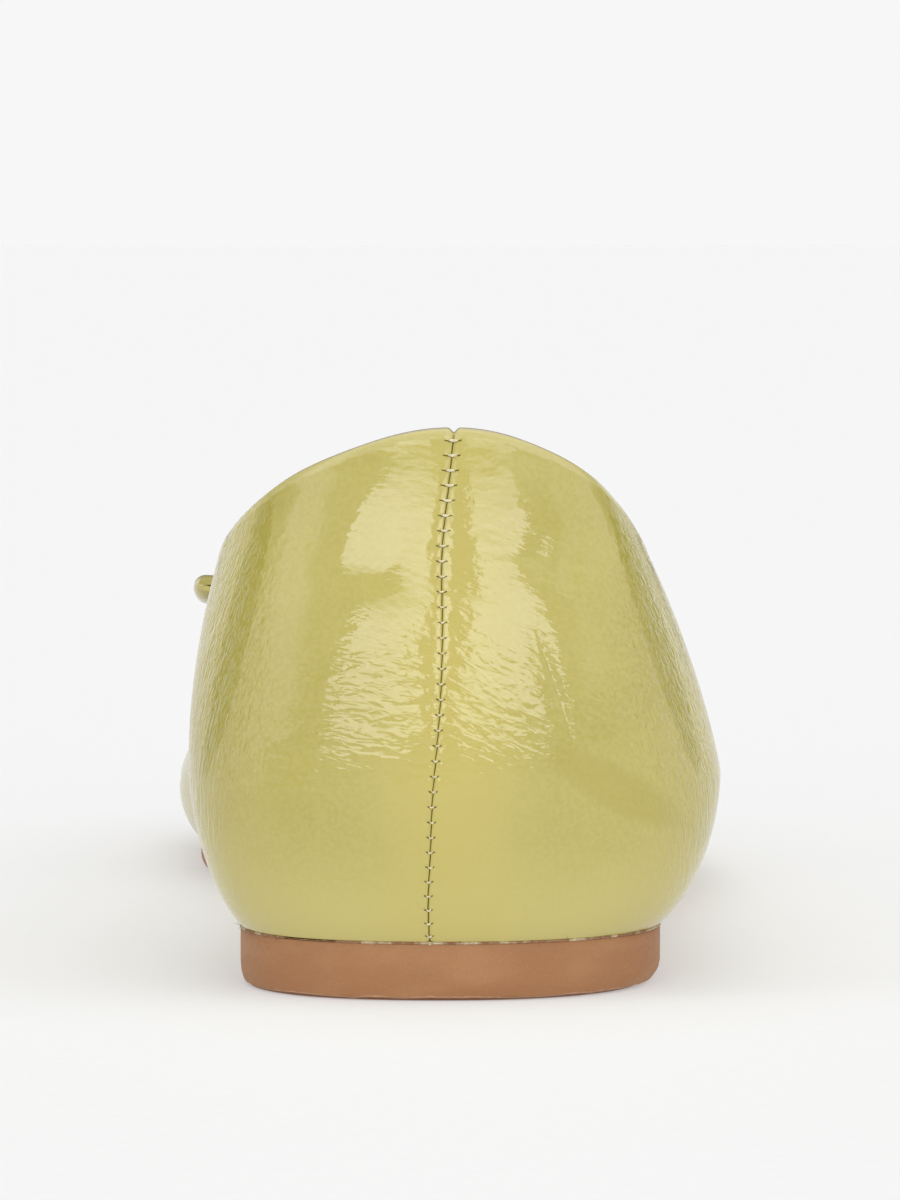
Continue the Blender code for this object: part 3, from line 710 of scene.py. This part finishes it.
def soft_leather(name, pore, cloud, dark, pale, rough, heights):
    """Matt leather with pores and cloudy tones, given in millimetres: its finish."""
    made = Finish(name)
    place = made.place()
    pores, clouds = made.noise(place, pore, 3.0), made.noise(place, cloud, 3.0)
    made.apply(base_color=made.mix(clouds.step(0.3, 0.7), dark, pale), roughness=pores.step(0.3, 0.7, *rough),
               specular_ior_level=0.35, normal=made.bump(pores * heights[0] + clouds * heights[1]))
    return made


lining_finish = soft_leather("smooth_lining_leather", (0.5, 0.5, 0.5), (12, 12, 12), (0.52, 0.43, 0.31, 1),
                             (0.60, 0.51, 0.38, 1), (0.50, 0.62), (0.00003, 0.0001))

lining_points = shell_columns(LINING_DROP, LINING_ROWS)[:, :-MARGIN_ROWS]
lining_out = outward(lining_points)
lining_points = lining_points - lining_out * crease_depth(lining_points)[..., None]
lining_ring = wall_ring(lining_points, lining_out, LEATHER_WALL + LINING_CLEAR, LEATHER_WALL + LINING_WALL,
                        list(range(0, LINING_ROWS + 1, LINING_ROWS_INSIDE)), LINING_ROLL)
lining = finish_piece("lining", net(lining_ring), lining_finish)

# BACK SEAM STITCHES
# Cream waxed thread that laces the two butted quarters together, one crossing about every 1.9 mm:
# each comes up through a slit on the medial side, sags over the joint and goes down on the lateral.
THREAD_RADIUS = 0.00017
THREAD_PLY = (0.10, 0.4, 0.22)
PLY_TURN = (0, 35, 0)
PLY_HEIGHT = 0.00006
THREAD_DARK, THREAD_PALE = (0.50, 0.43, 0.25, 1), (0.82, 0.77, 0.56, 1)
STITCH_LOW, STITCH_MORE = 0.00050, 0.00052
SWAY, SWAY_TURN = 0.00005, 2.3
TAPER = (0.7, 0.9, 1.05, 1.1, 1.05, 0.9, 0.7)
SLIM = 0.62
# Path of one stitch: share of its reach across, millimetres up and millimetres out.
SAG = ((-0.44, 0.03, -0.25), (-0.33, 0.01, 0.01), (-0.16, -0.03, 0.09), (0.05, -0.06, 0.12),
       (0.25, -0.02, 0.09), (0.46, 0.05, 0.02), (0.58, 0.07, -0.25))

thread_finish = Finish("waxed_thread")
ply = thread_finish.noise(thread_finish.place(), THREAD_PLY, turn=PLY_TURN)
thread_finish.apply(base_color=thread_finish.mix(ply.step(0.35, 0.65), THREAD_DARK, THREAD_PALE),
                    roughness=0.45, specular_ior_level=0.4, normal=thread_finish.bump(ply * PLY_HEIGHT))

thread = bmesh.new()
seam_run_down = run[0]
stitch_count = int((seam_run_down[SKIN_ROWS] - FIRST_STITCH) / STITCH_PITCH) + 1


def seam_frame(distance):
    """Point, outward and upward directions on the seam, at a run below the topline."""
    point, out = places_at(distance, seam_run_down, seam_points, seam_out)
    above, = places_at(distance - 0.0005, seam_run_down, seam_points)
    return point, unit(out), unit(above - point + 1e-9)


def tube(made, centres, radii, sides=8):
    """Closed tube through the centres, from circles bridged one to the next."""
    last = len(centres) - 1
    before = []
    for i, centre in enumerate(centres):
        ahead = Vector(centres[min(i + 1, last)]) - Vector(centres[max(i - 1, 0)])
        turn = ahead.to_track_quat("Z", "Y").to_matrix().to_4x4()
        ring = bmesh.ops.create_circle(made, cap_ends=i in (0, last), segments=sides, radius=radii[i],
                                       matrix=Matrix.Translation(centre) @ turn)["verts"]
        edges = list(dict.fromkeys(edge for vert in ring for edge in vert.link_edges))
        if before:
            bmesh.ops.bridge_loops(made, edges=before + edges)
        before = edges


for stitch in range(stitch_count):
    distance = FIRST_STITCH + stitch * STITCH_PITCH
    point, out, up = seam_frame(distance)
    across = np.cross(up, out)
    across = across if across[0] > 0 else -across
    longer = float(ease(1 - (distance - REACH_RUN[0]) / (REACH_RUN[1] - REACH_RUN[0])))
    reach = STITCH_LOW + STITCH_MORE * longer
    sway = SWAY * sin(stitch * SWAY_TURN)
    centres = [tuple(point + across * (share * reach + sway) + up * rise / 1000 * (0.6 + reach * 400)
                     + out * height / 1000) for share, rise, height in SAG]
    tube(thread, centres, [THREAD_RADIUS * (SLIM + (1 - SLIM) * longer) * size for size in TAPER])
stitches = finish_piece("back_seam_stitches", thread, thread_finish)

# INSOLE
# Stiff board cemented between the lasting margins, with a padded leather sock over it, which spreads
# over the margins to the lining and is softly raised under the heel and the arch.
PLATE_COLUMNS = 28
REAR_ROWS = 12
NOSE_ROWS = 16
CORNER = radians(42)
STRAIGHTEN = 12
STRAIGHTEN_POWER = 1.5
INSOLE_COVER = 0.0012
SOCK_ROUND = 0.0003
SOCK_SHRINK = 0.012
# Pads under the sock: station and place across of the middle, half length, half width, height.
PADS = ((0.034, 0.0, 0.016, 0.018, 0.0008), (0.095, -0.022, 0.022, 0.012, 0.0014))


def plate(stations, layers, place_layer):
    """Block of stacked layers, from a cube cut into a grid on every face."""
    rows = [(cos(CORNER * (1 - i / REAR_ROWS)), HEEL_CENTRE - HEEL_CAP * sin(CORNER * (1 - i / REAR_ROWS)))
            for i in range(REAR_ROWS)]
    rows += [(1.0, y) for y in stations]
    rows += [(cos(CORNER * (i + 1) / NOSE_ROWS), TOE_CENTRE + TOE_CAP * sin(CORNER * (i + 1) / NOSE_ROWS))
             for i in range(NOSE_ROWS)]
    rows = np.array(rows)
    last = len(rows) - 1
    made = bmesh.new()
    bmesh.ops.create_cube(made, size=2.0)
    for axis, cuts in enumerate((PLATE_COLUMNS - 1, last - 1, layers - 2)):
        along = [edge for edge in made.edges
                 if abs(edge.verts[0].co[axis] - edge.verts[1].co[axis]) > 0.5]
        if cuts:
            bmesh.ops.subdivide_edges(made, edges=along, cuts=cuts, use_grid_fill=True)
    cube = np.array([vert.co for vert in made.verts])
    across = cube[:, 0]
    row = np.rint((cube[:, 1] + 1) / 2 * last).astype(int)
    layer = np.rint((cube[:, 2] + 1) / 2 * (layers - 1)).astype(int)
    near_rear = np.maximum(0.0, 1 - row / (REAR_ROWS + STRAIGHTEN)) ** STRAIGHTEN_POWER
    near_nose = np.maximum(0.0, 1 - (last - row) / (NOSE_ROWS + STRAIGHTEN)) ** STRAIGHTEN_POWER
    side = np.where(across >= 0, 1, -1)
    turn = pi / 2 - np.abs(across) * (pi / 2 - CORNER)
    x = across * rows[row, 0] + near_rear * (side * np.cos(turn) - across * rows[0, 0]) \
        + near_nose * (side * np.cos(turn) - across * rows[-1, 0])
    y = rows[row, 1] + near_rear * (HEEL_CENTRE - HEEL_CAP * np.sin(turn) - rows[0, 1]) \
        + near_nose * (TOE_CENTRE + TOE_CAP * np.sin(turn) - rows[-1, 1])
    places = place_layer(x, y, layer)
    for vert, place in zip(made.verts, places):
        vert.co = place
    return made


def plate_plan(x, y, grow_side, grow_end):
    """Points of a plate's plan; the rim lies outside the feather line by the two amounts."""
    level, side, front, way, base, depth = ray(x, y)
    end_tuck = np.where(way < 0, BACK_TUCK, TOE_TUCK)
    place = base + way * front * level * (depth - end_tuck + grow_end)
    share, tuck, half = side_sizes(place, side)
    return plan_centre(share) + side * level * (half - tuck + grow_side(share, side)), place, level


sock_finish = soft_leather("padded_sock_leather", (0.6, 0.6, 0.6), (16, 20, 16), (0.50, 0.40, 0.27, 1),
                           (0.58, 0.48, 0.34, 1), (0.48, 0.60), (0.00004, 0.0002))


def wall_reach(height, tuck, bulge, side):
    """How far outside the feather line the wall's inner face lies, at a height over its edge."""
    falls, tucks = tuck_under(np.linspace(1.0, 0.05, 60), side)
    out, up = tuck * (1 - tucks), bulge * (1 - falls)
    slope_out, slope_up = np.gradient(out), np.gradient(up)
    length = np.hypot(slope_out, slope_up)
    return float(np.interp(height, up + WALL * slope_out / length, out - WALL * slope_up / length))


reach_station = np.linspace(0, 1, 60)
COVER_TOP = WALL + GAP + INSOLE_COVER
reach_medial, reach_lateral = (
    np.array([wall_reach(COVER_TOP, float(tuck(share)), float(bulge_rise(share)), side)
              for share in reach_station])
    for tuck, side in ((medial_tuck, -1), (lateral_tuck, 1)))
reach_back = wall_reach(COVER_TOP, BACK_TUCK, float(bulge_rise(0.0)), 0)
reach_toe = wall_reach(COVER_TOP, TOE_TUCK, float(bulge_rise(1.0)), 0)


def insole_places(x, y, layer):
    """Points of the insole: board below, padded sock above."""
    board = layer < 2

    def grow_side(share, side):
        reach = np.where(side > 0, np.interp(share, reach_station, reach_lateral),
                         np.interp(share, reach_station, reach_medial))
        return np.where(board, -LASTING_MARGIN - GAP * 3, reach - GAP * 2)

    grow_end = np.where(board, -LASTING_MARGIN - GAP * 3,
                        np.where(y < HEEL_CENTRE, reach_back, reach_toe) - GAP * 2)
    across, place, level = plate_plan(x, y, grow_side, grow_end)
    heights = np.array((0.0, WALL + GAP, WALL + GAP, COVER_TOP - SOCK_ROUND, COVER_TOP))[layer]
    pads = sum(hump(place - station, length) * hump(across - aside, width, height)
               for station, aside, length, width, height in PADS)
    padded = np.where(layer == 4, pads * ease((1 - level) / 0.2), 0.0)
    rounded = np.where(layer == 4, 1 - SOCK_SHRINK * ease((level - 0.8) / 0.2), 1.0)
    centre = plan_centre(place / SHOE_LENGTH)
    return np.stack((centre + (across - centre) * rounded, place, sole_top(place) + GAP + heights + padded),
                    axis=-1)


insole_stations = np.linspace(HEEL_CENTRE, TOE_CENTRE, 90)
insole = finish_piece("padded_insole", plate(insole_stations, 5, insole_places), sock_finish)
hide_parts("insole")

# OUTSOLE
# One moulded unit of matt tan rubber with its low heel, cemented under the upper: a plain wall with a
# rounded lower edge, a fine step over the band that touches the floor, and fine cross ribs under the
# heel and the forefoot.
BREAST_RUN = 0.0022
ARCH_RISE = 0.0028
EDGE_BAND = 0.0004
EDGE_STEP = 0.00014
EDGE_MEDIAL = 0.0009
EDGE_LATERAL = 0.0022
RIB_DEPTH = 0.00040
RIB_ROW = 0.0008
RIBBED = ((0.007, HEEL_LENGTH - 0.006), (0.126, 0.205))
RIB_RIM = 0.86
ARCH_ROWS = 40
# Layers from the floor up: share of the height over the band, on the band or over it.
EDGE_LAYERS = ((0.0, 1), (0.0, 1), (0.0, 0), (0.02, 0), (0.06, 0), (0.12, 0), (0.20, 0), (0.34, 0),
               (0.60, 0), (0.86, 0), (0.985, 0), (1.0, 0))
# How far the layers draw in: the foot of the wall, up to a share of its height, then the two layers
# of the band and the topmost one.
FOOT_ROUND, FOOT_HEIGHT, BAND_ROUND, TOP_ROUND = 0.5, 0.34, (1.0, 0.55), 0.12
layer_height, layer_step = np.array(EDGE_LAYERS).T
layer_round = FOOT_ROUND * np.maximum(0, 1 - layer_height / FOOT_HEIGHT) ** 2
layer_round[[0, 1, -1]] = *BAND_ROUND, TOP_ROUND


def sole_bottom(y):
    """Height of the underside: flat heel, breast, arch, flat tread, toe spring."""
    breast = np.clip((y - HEEL_LENGTH) / BREAST_RUN, 0, 1)
    arch = 1 - ease((y - HEEL_LENGTH - BREAST_RUN) / (TREAD_BACK - HEEL_LENGTH - BREAST_RUN))
    return ARCH_RISE * breast * arch + toe_lift(y)


def outsole_places(x, y, layer):
    """Points of the outsole on its layers; the lowest two bound the band on the floor."""
    height, step, rounding = layer_height[layer], layer_step[layer], layer_round[layer]

    def grow_side(share, side):
        return -(rounding * np.where(side > 0, EDGE_LATERAL, EDGE_MEDIAL) + step * EDGE_STEP)

    across, place, level = plate_plan(x, y, grow_side, -(rounding * EDGE_MEDIAL + step * EDGE_STEP))
    low, high = sole_bottom(place), sole_top(place)
    band = np.where(layer > 0, EDGE_BAND, 0.0)
    z = low + band + (high - low - band) * height
    ribbed = sum((place > start) & (place < end) for start, end in RIBBED) > 0
    hollow = np.rint((place - HEEL_CENTRE) / RIB_ROW).astype(int) % 4 < 2
    z += np.where((layer == 0) & ribbed & hollow & (level < RIB_RIM), RIB_DEPTH, 0.0)
    return np.stack((across, place, z), axis=-1)


TAN_DARK, TAN_PALE = (0.335, 0.153, 0.063, 1), (0.372, 0.181, 0.078, 1)
# Tints over the tan, strength and colour: pale and dark specks, the rim at the floor, the step over it.
TAN_TINTS = ((0.15, (0.52, 0.32, 0.18, 1)), (0.15, (0.22, 0.105, 0.055, 1)),
             (0.75, (0.235, 0.088, 0.040, 1)), (0.60, (0.60, 0.39, 0.25, 1)))
# Heights over the floor where the dark rim fades and where the pale line of the step begins and ends.
RIM_FADE, STEP_FROM, STEP_TO = (0.0, 0.00012), (0.00010, 0.00018), (0.00026, 0.00040)
RIM_RAGGED, RIM_DUST = 0.0007, 0.0004
SPECK_HEIGHT, DUST_HEIGHT = 0.000035, 0.00005

rubber = Finish("matt_moulded_rubber")
spot_on = rubber.place()
speck = rubber.noise(spot_on, (0.28, 0.28, 0.28))
dust = rubber.noise(spot_on, (1.1, 1.1, 0.7), 4.0, 0.65)
stain = rubber.noise(spot_on, (10, 10, 4), 3.0)
ragged = rubber.noise(spot_on, (6, 6, 20), 3.0)
over_floor = rubber.node("ShaderNodeSeparateXYZ", {}, [spot_on], "Z")
over_rim = over_floor - ragged * RIM_RAGGED + dust * RIM_DUST
colour = rubber.tinted(rubber.mix(stain.step(0.35, 0.70), TAN_DARK, TAN_PALE), (
    speck.step(0.58, 0.72), speck.step(0.42, 0.30), over_rim.fade(*RIM_FADE),
    over_rim.step(*STEP_FROM) * over_rim.fade(*STEP_TO)), TAN_TINTS)
rubber.apply(base_color=colour, roughness=dust.step(0.3, 0.7, 0.52, 0.68), specular_ior_level=0.35,
             normal=rubber.bump(speck * SPECK_HEIGHT + dust * DUST_HEIGHT))

outsole_stations = np.concatenate((
    np.arange(HEEL_CENTRE, HEEL_LENGTH - RIB_ROW / 2, RIB_ROW), [HEEL_LENGTH, HEEL_LENGTH + BREAST_RUN / 2],
    np.linspace(HEEL_LENGTH + BREAST_RUN, 0.1252, ARCH_ROWS), np.arange(0.126, TOE_CENTRE, RIB_ROW)))
outsole = finish_piece("moulded_outsole", plate(outsole_stations, len(EDGE_LAYERS), outsole_places), rubber)
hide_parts("outsole")

# SOLE LINE
# Cement squeezed out between the upper and the outsole, with loose fibres of the lasting margin in it
# and a blob under the back seam; the joint stays open for a short way on the heel's medial side. The
# cement's brown is partly painted shadow: it darkens the joint line between the upper and the outsole.
BEAD_STEP = 0.0005
BEAD_SIDES = 6
BEAD_INSET, BEAD_DROP = 0.00010, GAP * 0.55
BEAD_LEAST, BEAD_MORE, BEAD_OPEN = 0.00009, 0.00013, 0.00004
OPEN_MIDDLE, OPEN_HALF, OPEN_FRONT = -0.0172, 0.0034, 0.03
FIBRES = 380
FIBRES_LEFT_OUT = 0.7
FIBRE_LENGTH = (0.0003, 0.0009)
FIBRE_ROOT, FIBRE_TIP = 0.000035, 0.000012
BLOB_RADIUS, BLOB_PLACE = 0.00026, 0.0001
CRUMB_HEIGHT = 0.00012
# Brown cement, partly painted shadow along the joint, then pale cement, each as a dark and a pale tone.
BROWN_CEMENT_AND_SHADE = (0.220, 0.110, 0.052, 1), (0.340, 0.190, 0.100, 1)
PALE_CEMENT = (0.400, 0.300, 0.170, 1), (0.600, 0.520, 0.350, 1)

cement = Finish("dried_cement")
spot_on = cement.place()
crumb = cement.noise(spot_on, (0.4, 0.4, 0.3), 3.0, 0.6)
patch = cement.noise(spot_on, (2.6, 4, 4))
brown_and_shade, pale = (cement.mix(crumb.step(0.35, 0.65), *pair) for pair in (BROWN_CEMENT_AND_SHADE, PALE_CEMENT))
cement.apply(base_color=cement.mix(patch.step(0.50, 0.60), brown_and_shade, pale), roughness=0.6,
             specular_ior_level=0.3, normal=cement.bump(crumb * CRUMB_HEIGHT))

dice = np.random.default_rng(7)
feather = skin_points[:-1, SKIN_ROWS]
feather_out = unit(skin_out[:-1, SKIN_ROWS] * (1, 1, 0))
feather_run = run_along(feather)
bead_run = np.arange(0, feather_run[-1], BEAD_STEP)
bead_line, bead_out = places_at(bead_run, feather_run, feather, feather_out)
rough_size = np.convolve(dice.uniform(0.3, 1.0, len(bead_run) + 4), np.ones(5) / 5, "valid")
is_open = (np.abs(bead_line[:, 0] - OPEN_MIDDLE) < OPEN_HALF) & (bead_line[:, 1] < OPEN_FRONT)
size = np.where(is_open, BEAD_OPEN, BEAD_LEAST + BEAD_MORE * rough_size)
bead_middle = bead_line - bead_out * BEAD_INSET - np.array((0, 0, BEAD_DROP))
places = np.stack([bead_middle + size[:, None] * (bead_out * cos(turn) + np.array((0, 0, sin(turn))))
                   for turn in np.linspace(0, 2 * pi, BEAD_SIDES + 1)], axis=1)
bead = net(np.concatenate((places, places[:1])))
for i in dice.choice(len(bead_run), FIBRES, replace=False):
    if is_open[i] and dice.uniform() < FIBRES_LEFT_OUT:
        continue
    way = np.cross(bead_out[i], (0, 0, 1)) * dice.normal(0, 0.9)
    lean = Vector(unit(way + bead_out[i] * 0.5 + np.array((0, 0, dice.normal(0.05, 0.5)))))
    length = dice.uniform(*FIBRE_LENGTH)
    middle = Vector(bead_middle[i] + bead_out[i] * size[i] * 0.5) + lean * length / 2
    turned = Matrix.Translation(middle) @ lean.to_track_quat("Z", "Y").to_matrix().to_4x4()
    bmesh.ops.create_cone(bead, cap_ends=True, segments=3, radius1=FIBRE_ROOT, radius2=FIBRE_TIP,
                          depth=length, matrix=turned)
blob = seam_points[SKIN_ROWS] + seam_out[SKIN_ROWS] * BLOB_PLACE - np.array((0, 0, BLOB_PLACE))
bmesh.ops.create_icosphere(bead, subdivisions=2, radius=BLOB_RADIUS, matrix=Matrix.Translation(blob))
sole_line = finish_piece("sole_line_cement", bead, cement)

# BOW
# Flat bow of the upper's leather, sewn on at the throat: two straps folded into loops, gathered into
# soft pleats and held by a wrapped knot, which sits on the ridge of the vamp.
BOW_WIDTH = 0.0636
BOW_OFFSET = -0.0010
BOW_FORWARD, BOW_CLEAR = 0.62, 1.3
BOW_ROUGH = 0.14
LOOP_BREADTH = 0.0140
LOOP_ROOT = 0.0085
LOOP_NOSE = 0.0014
LOOP_PINCH = 0.0009
LOOP_RISE = 0.0020
LOOP_SWELL = 0.45
LOOP_CORNER = 0.0016
PLEAT_DEPTH, PLEAT_TURN = 0.00022, 7.5
EDGE_CLOSED, EDGE_OPENING, EDGE_POWER = 0.36, 0.76, 2.6
STRAP = 0.0009
STRAP_EDGE = 0.00038
KNOT_WIDTH = 0.0085
KNOT_DEPTH = 0.0125
KNOT_HEIGHT = 0.0078
KNOT_ROUND = 0.0016
KNOT_WAIST = 0.07
KNOT_FOLD, KNOT_FOLD_TURN, KNOT_FOLD_START = 0.018, 8.0, 0.6
KNOT_TOP = 1.02
NOSE_STEPS = 16
LAYER_STEPS = 36
LOOP_ACROSS = 28

bow_leather, _, bow_colour, bow_relief = patent("bow_patent_leather")
bow_leather.apply(base_color=bow_colour, roughness=BOW_ROUGH, specular_ior_level=0.5,
                  normal=bow_leather.bump(bow_relief))

knot_y = THROAT_FRONT + KNOT_DEPTH * BOW_FORWARD
ridge = skin(np.zeros(3), np.array((knot_y, knot_y + GAP, knot_y - GAP)))
ridge_slope = atan2(ridge[1, 2] - ridge[2, 2], ridge[1, 1] - ridge[2, 1])
bow_centre = Vector(ridge[0]) + Vector((BOW_OFFSET, 0, GAP * BOW_CLEAR + KNOT_HEIGHT / 2))


def loop_path(step):
    """Reach and height on a loop's middle line, from the knot out over the fold and back."""
    straight = BOW_WIDTH / 2 - KNOT_WIDTH / 2 - GAP - LOOP_NOSE - STRAP / 2
    if LAYER_STEPS <= step <= LAYER_STEPS + NOSE_STEPS:
        turn = (step - LAYER_STEPS) / NOSE_STEPS * pi
        return straight + LOOP_NOSE * sin(turn), LOOP_NOSE * cos(turn)
    over = step < LAYER_STEPS
    share = step / LAYER_STEPS if over else (2 * LAYER_STEPS + NOSE_STEPS - step) / LAYER_STEPS
    height = LOOP_PINCH + (LOOP_NOSE - LOOP_PINCH) * float(ease(share * 1.3))
    height += LOOP_SWELL * LOOP_NOSE * sin(share * pi) ** 2
    return straight * share, height if over else -height


def bow_loop(name, side):
    """One folded loop of the bow, gathered into soft pleats at the knot."""
    steps = 2 * LAYER_STEPS + NOSE_STEPS
    places = np.zeros((LOOP_ACROSS + 1, steps + 1, 3))
    for across in range(LOOP_ACROSS + 1):
        side_way = across / LOOP_ACROSS * 2 - 1
        closing = EDGE_CLOSED + EDGE_OPENING * (1 - abs(side_way) ** EDGE_POWER)
        for step in range(steps + 1):
            reach, height = loop_path(step)
            share = reach / (BOW_WIDTH / 2)
            reach -= LOOP_CORNER * abs(side_way) ** 3 * share ** 3
            pleat = PLEAT_DEPTH * cos(side_way * PLEAT_TURN) * (1 - float(ease(share * 1.9)))
            y = side_way * (LOOP_ROOT + (LOOP_BREADTH - LOOP_ROOT) * float(ease(share * 1.25))) / 2
            z = height * closing + LOOP_RISE * float(ease(share)) + (pleat if step < LAYER_STEPS else -pleat)
            places[across, step] = bow_centre + Vector(
                (side * (KNOT_WIDTH / 2 + GAP + reach), y, z + y * sin(ridge_slope)))
    piece = finish_piece(name, net(places), bow_leather)
    wall = piece.modifiers.new("strap", "SOLIDIFY")
    wall.thickness, wall.offset, wall.use_even_offset = STRAP, 0, True
    edge = piece.modifiers.new("edge", "BEVEL")
    edge.width, edge.segments, edge.limit_method, edge.angle_limit = STRAP_EDGE, 4, "ANGLE", radians(60)
    return piece


loops = bow_loop("bow_loop_medial_leather", -1), bow_loop("bow_loop_lateral_leather", 1)
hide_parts("bow_loop_medial")
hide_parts("bow_loop_lateral")

knot_mesh = bmesh.new()
bmesh.ops.create_cube(knot_mesh, size=1.0)
bmesh.ops.scale(knot_mesh, vec=(KNOT_WIDTH, KNOT_DEPTH, KNOT_HEIGHT), verts=knot_mesh.verts)
bmesh.ops.bevel(knot_mesh, geom=knot_mesh.edges, offset=KNOT_ROUND, offset_type="OFFSET", segments=4,
                profile=0.5, affect="EDGES", material=-1)
bmesh.ops.subdivide_edges(knot_mesh, edges=knot_mesh.edges, cuts=3, use_grid_fill=True, smooth=0.0)
for vert in knot_mesh.verts:
    along = vert.co.x / (KNOT_WIDTH / 2)
    waist = KNOT_WAIST * (1 - min(1.0, abs(along)) ** 2)
    fold = 1 + KNOT_FOLD * sin(along * KNOT_FOLD_TURN + KNOT_FOLD_START)
    vert.co.y *= fold * (1 + waist) / (1 + KNOT_WAIST)
    vert.co.z = min(vert.co.z * fold, KNOT_HEIGHT / 2 * KNOT_TOP)
bmesh.ops.rotate(knot_mesh, cent=(0, 0, 0), matrix=Matrix.Rotation(ridge_slope, 3, "X"),
                 verts=knot_mesh.verts)
bmesh.ops.translate(knot_mesh, vec=bow_centre, verts=knot_mesh.verts)
knot = finish_piece("bow_knot_leather", knot_mesh, bow_leather)
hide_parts("bow_knot")

# STUDIO
# Pale seamless floor that glows faintly, and a sky with two tall soft boxes behind the camera, darker
# between, round and under them, with dark flags and a low glare at both sides beyond the shoe. The
# camera stands behind the heel, a little above it, and sees the sky as plain near white.
CAMERA_PLACE = (MIDDLE_X, BACK_Y - 0.795, 0.0943)
CAMERA_PITCH = 3.224
FOCAL_PIXELS = 6560
FRAME_HEIGHT = 1200
SENSOR = 36.0
FLOOR_RADIUS = 40.0
FLOOR_DROP = 0.0001
PAPER_DARK, PAPER_PALE, PAPER_GLOW = (0.512, 0.512, 0.512, 1), (0.522, 0.522, 0.522, 1), 0.35
WHITE = (1.0, 1.0, 1.0, 1.0)
# Levels of the sky: all round and as the camera sees it, what the boxes, the glare, the height and a
# left panel add, and what the dark parts take away.
SKY, SEEN_SKY = 1.25, 0.93
BOXES, BOX_FOOT, BOX_HEAD = 3.7, 0.6, 3.0
GLARE, HIGH_SKY, LEFT_PANEL = 0.98, 0.4, 0.5
GAP_LOSS, SKIRTING_LOSS, FLAG_LOSS = 0.89, 1.0, 1.13
LEAN_HEIGHT, LEAN = 13.0, 2.0

floor_mesh = bmesh.new()
bmesh.ops.create_circle(floor_mesh, cap_ends=True, segments=96, radius=FLOOR_RADIUS)
floor_data = bpy.data.meshes.new("studio_floor")
floor_mesh.to_mesh(floor_data)
floor_mesh.free()
floor_data.transform(Matrix.Translation((0, 0, -FLOOR_DROP)))
floor = bpy.data.objects.new("studio_floor", floor_data)
bpy.context.scene.collection.objects.link(floor)
paper = Finish("pale_paper")
fibre = paper.noise(paper.place(), (2, 2, 2), 3.0)
paper.apply(base_color=paper.mix(fibre.step(0.3, 0.7), PAPER_DARK, PAPER_PALE), roughness=0.9,
            specular_ior_level=0.1, emission_color=WHITE, emission_strength=PAPER_GLOW)
floor_data.materials.append(paper.material)

world = bpy.data.worlds.new("studio")
world.use_nodes = True
bpy.context.scene.world = world
sky = Finish("studio", world.node_tree)
ahead = sky.node("ShaderNodeSeparateXYZ", {}, [sky.node("ShaderNodeTexCoord", out="Generated")])
parts = [Signal(sky, ahead.socket.node.outputs[axis]) for axis in range(3)]
azimuth = parts[0].maths("ARCTAN2", parts[0], 0.0 - parts[1]) * (180 / pi)
elevation = parts[2].maths("ARCSINE", parts[2]) * (180 / pi)


def panel(start, end, low, high, soft, slant_start=0.0, slant_end=0.0):
    """1 between two azimuths, which may lean with the height, and two elevations; 0 elsewhere."""
    return ((azimuth - elevation * slant_start).step(start - soft, start + soft)
            * (azimuth - elevation * slant_end).fade(end - soft, end + soft)
            * elevation.step(low - soft, low + soft) * elevation.fade(high - soft, high + soft))


boxes = panel(-46.4, -4.8, 4.3, 29.5, 1.0, 0.975, 0.0) + panel(4.8, 41.5, 4.3, 29.0, 1.0, 0.0, -0.64)
dark = (panel(-56, 20, -5, 48, 6) + panel(20, 50, -5, 24, 6)) * GAP_LOSS
dark = dark.maths("MAXIMUM", dark, panel(-72, 85, -5, 4.2, 1.0) * SKIRTING_LOSS)
leaning = azimuth - elevation.maths("MINIMUM", elevation, LEAN_HEIGHT) * LEAN
flags = (leaning.fade(-112, -106) + azimuth.step(104, 112)) * elevation.fade(40, 58)
glare = (leaning.fade(-138, -124) * azimuth.step(-172, -160)
         + azimuth.step(126, 138) * azimuth.fade(160, 172))
glare = glare * elevation.step(-6, -1) * elevation.fade(12, 24)
radiance = (boxes * (elevation.step(4, 14) * BOX_FOOT + BOXES - elevation.step(14, 30) * BOX_HEAD) + SKY
            - dark - flags * FLAG_LOSS + glare * GLARE + elevation.step(50, 60) * HIGH_SKY
            + panel(-88, -58, 4, 50, 9) * LEFT_PANEL)
seen = sky.node("ShaderNodeLightPath", out="Is Camera Ray")
shown = sky.node("ShaderNodeMix", {"data_type": "FLOAT"}, {0: seen, 2: radiance, 3: SEEN_SKY}, 0)
background = world.node_tree.nodes["Background"]
background.inputs["Color"].default_value = WHITE
world.node_tree.links.new(shown.socket, background.inputs["Strength"])

bpy.context.scene.view_settings.view_transform = "Standard"
camera_data = bpy.data.cameras.new("camera")
camera_data.sensor_fit = "AUTO"
camera_data.sensor_width = SENSOR
camera_data.lens = FOCAL_PIXELS / FRAME_HEIGHT * SENSOR
camera_data.clip_start, camera_data.clip_end = 0.05, 100.0
camera = bpy.data.objects.new("camera", camera_data)
camera.location = CAMERA_PLACE
camera.rotation_euler = (radians(90 - CAMERA_PITCH), 0, 0)
bpy.context.scene.collection.objects.link(camera)
bpy.context.scene.camera = camera
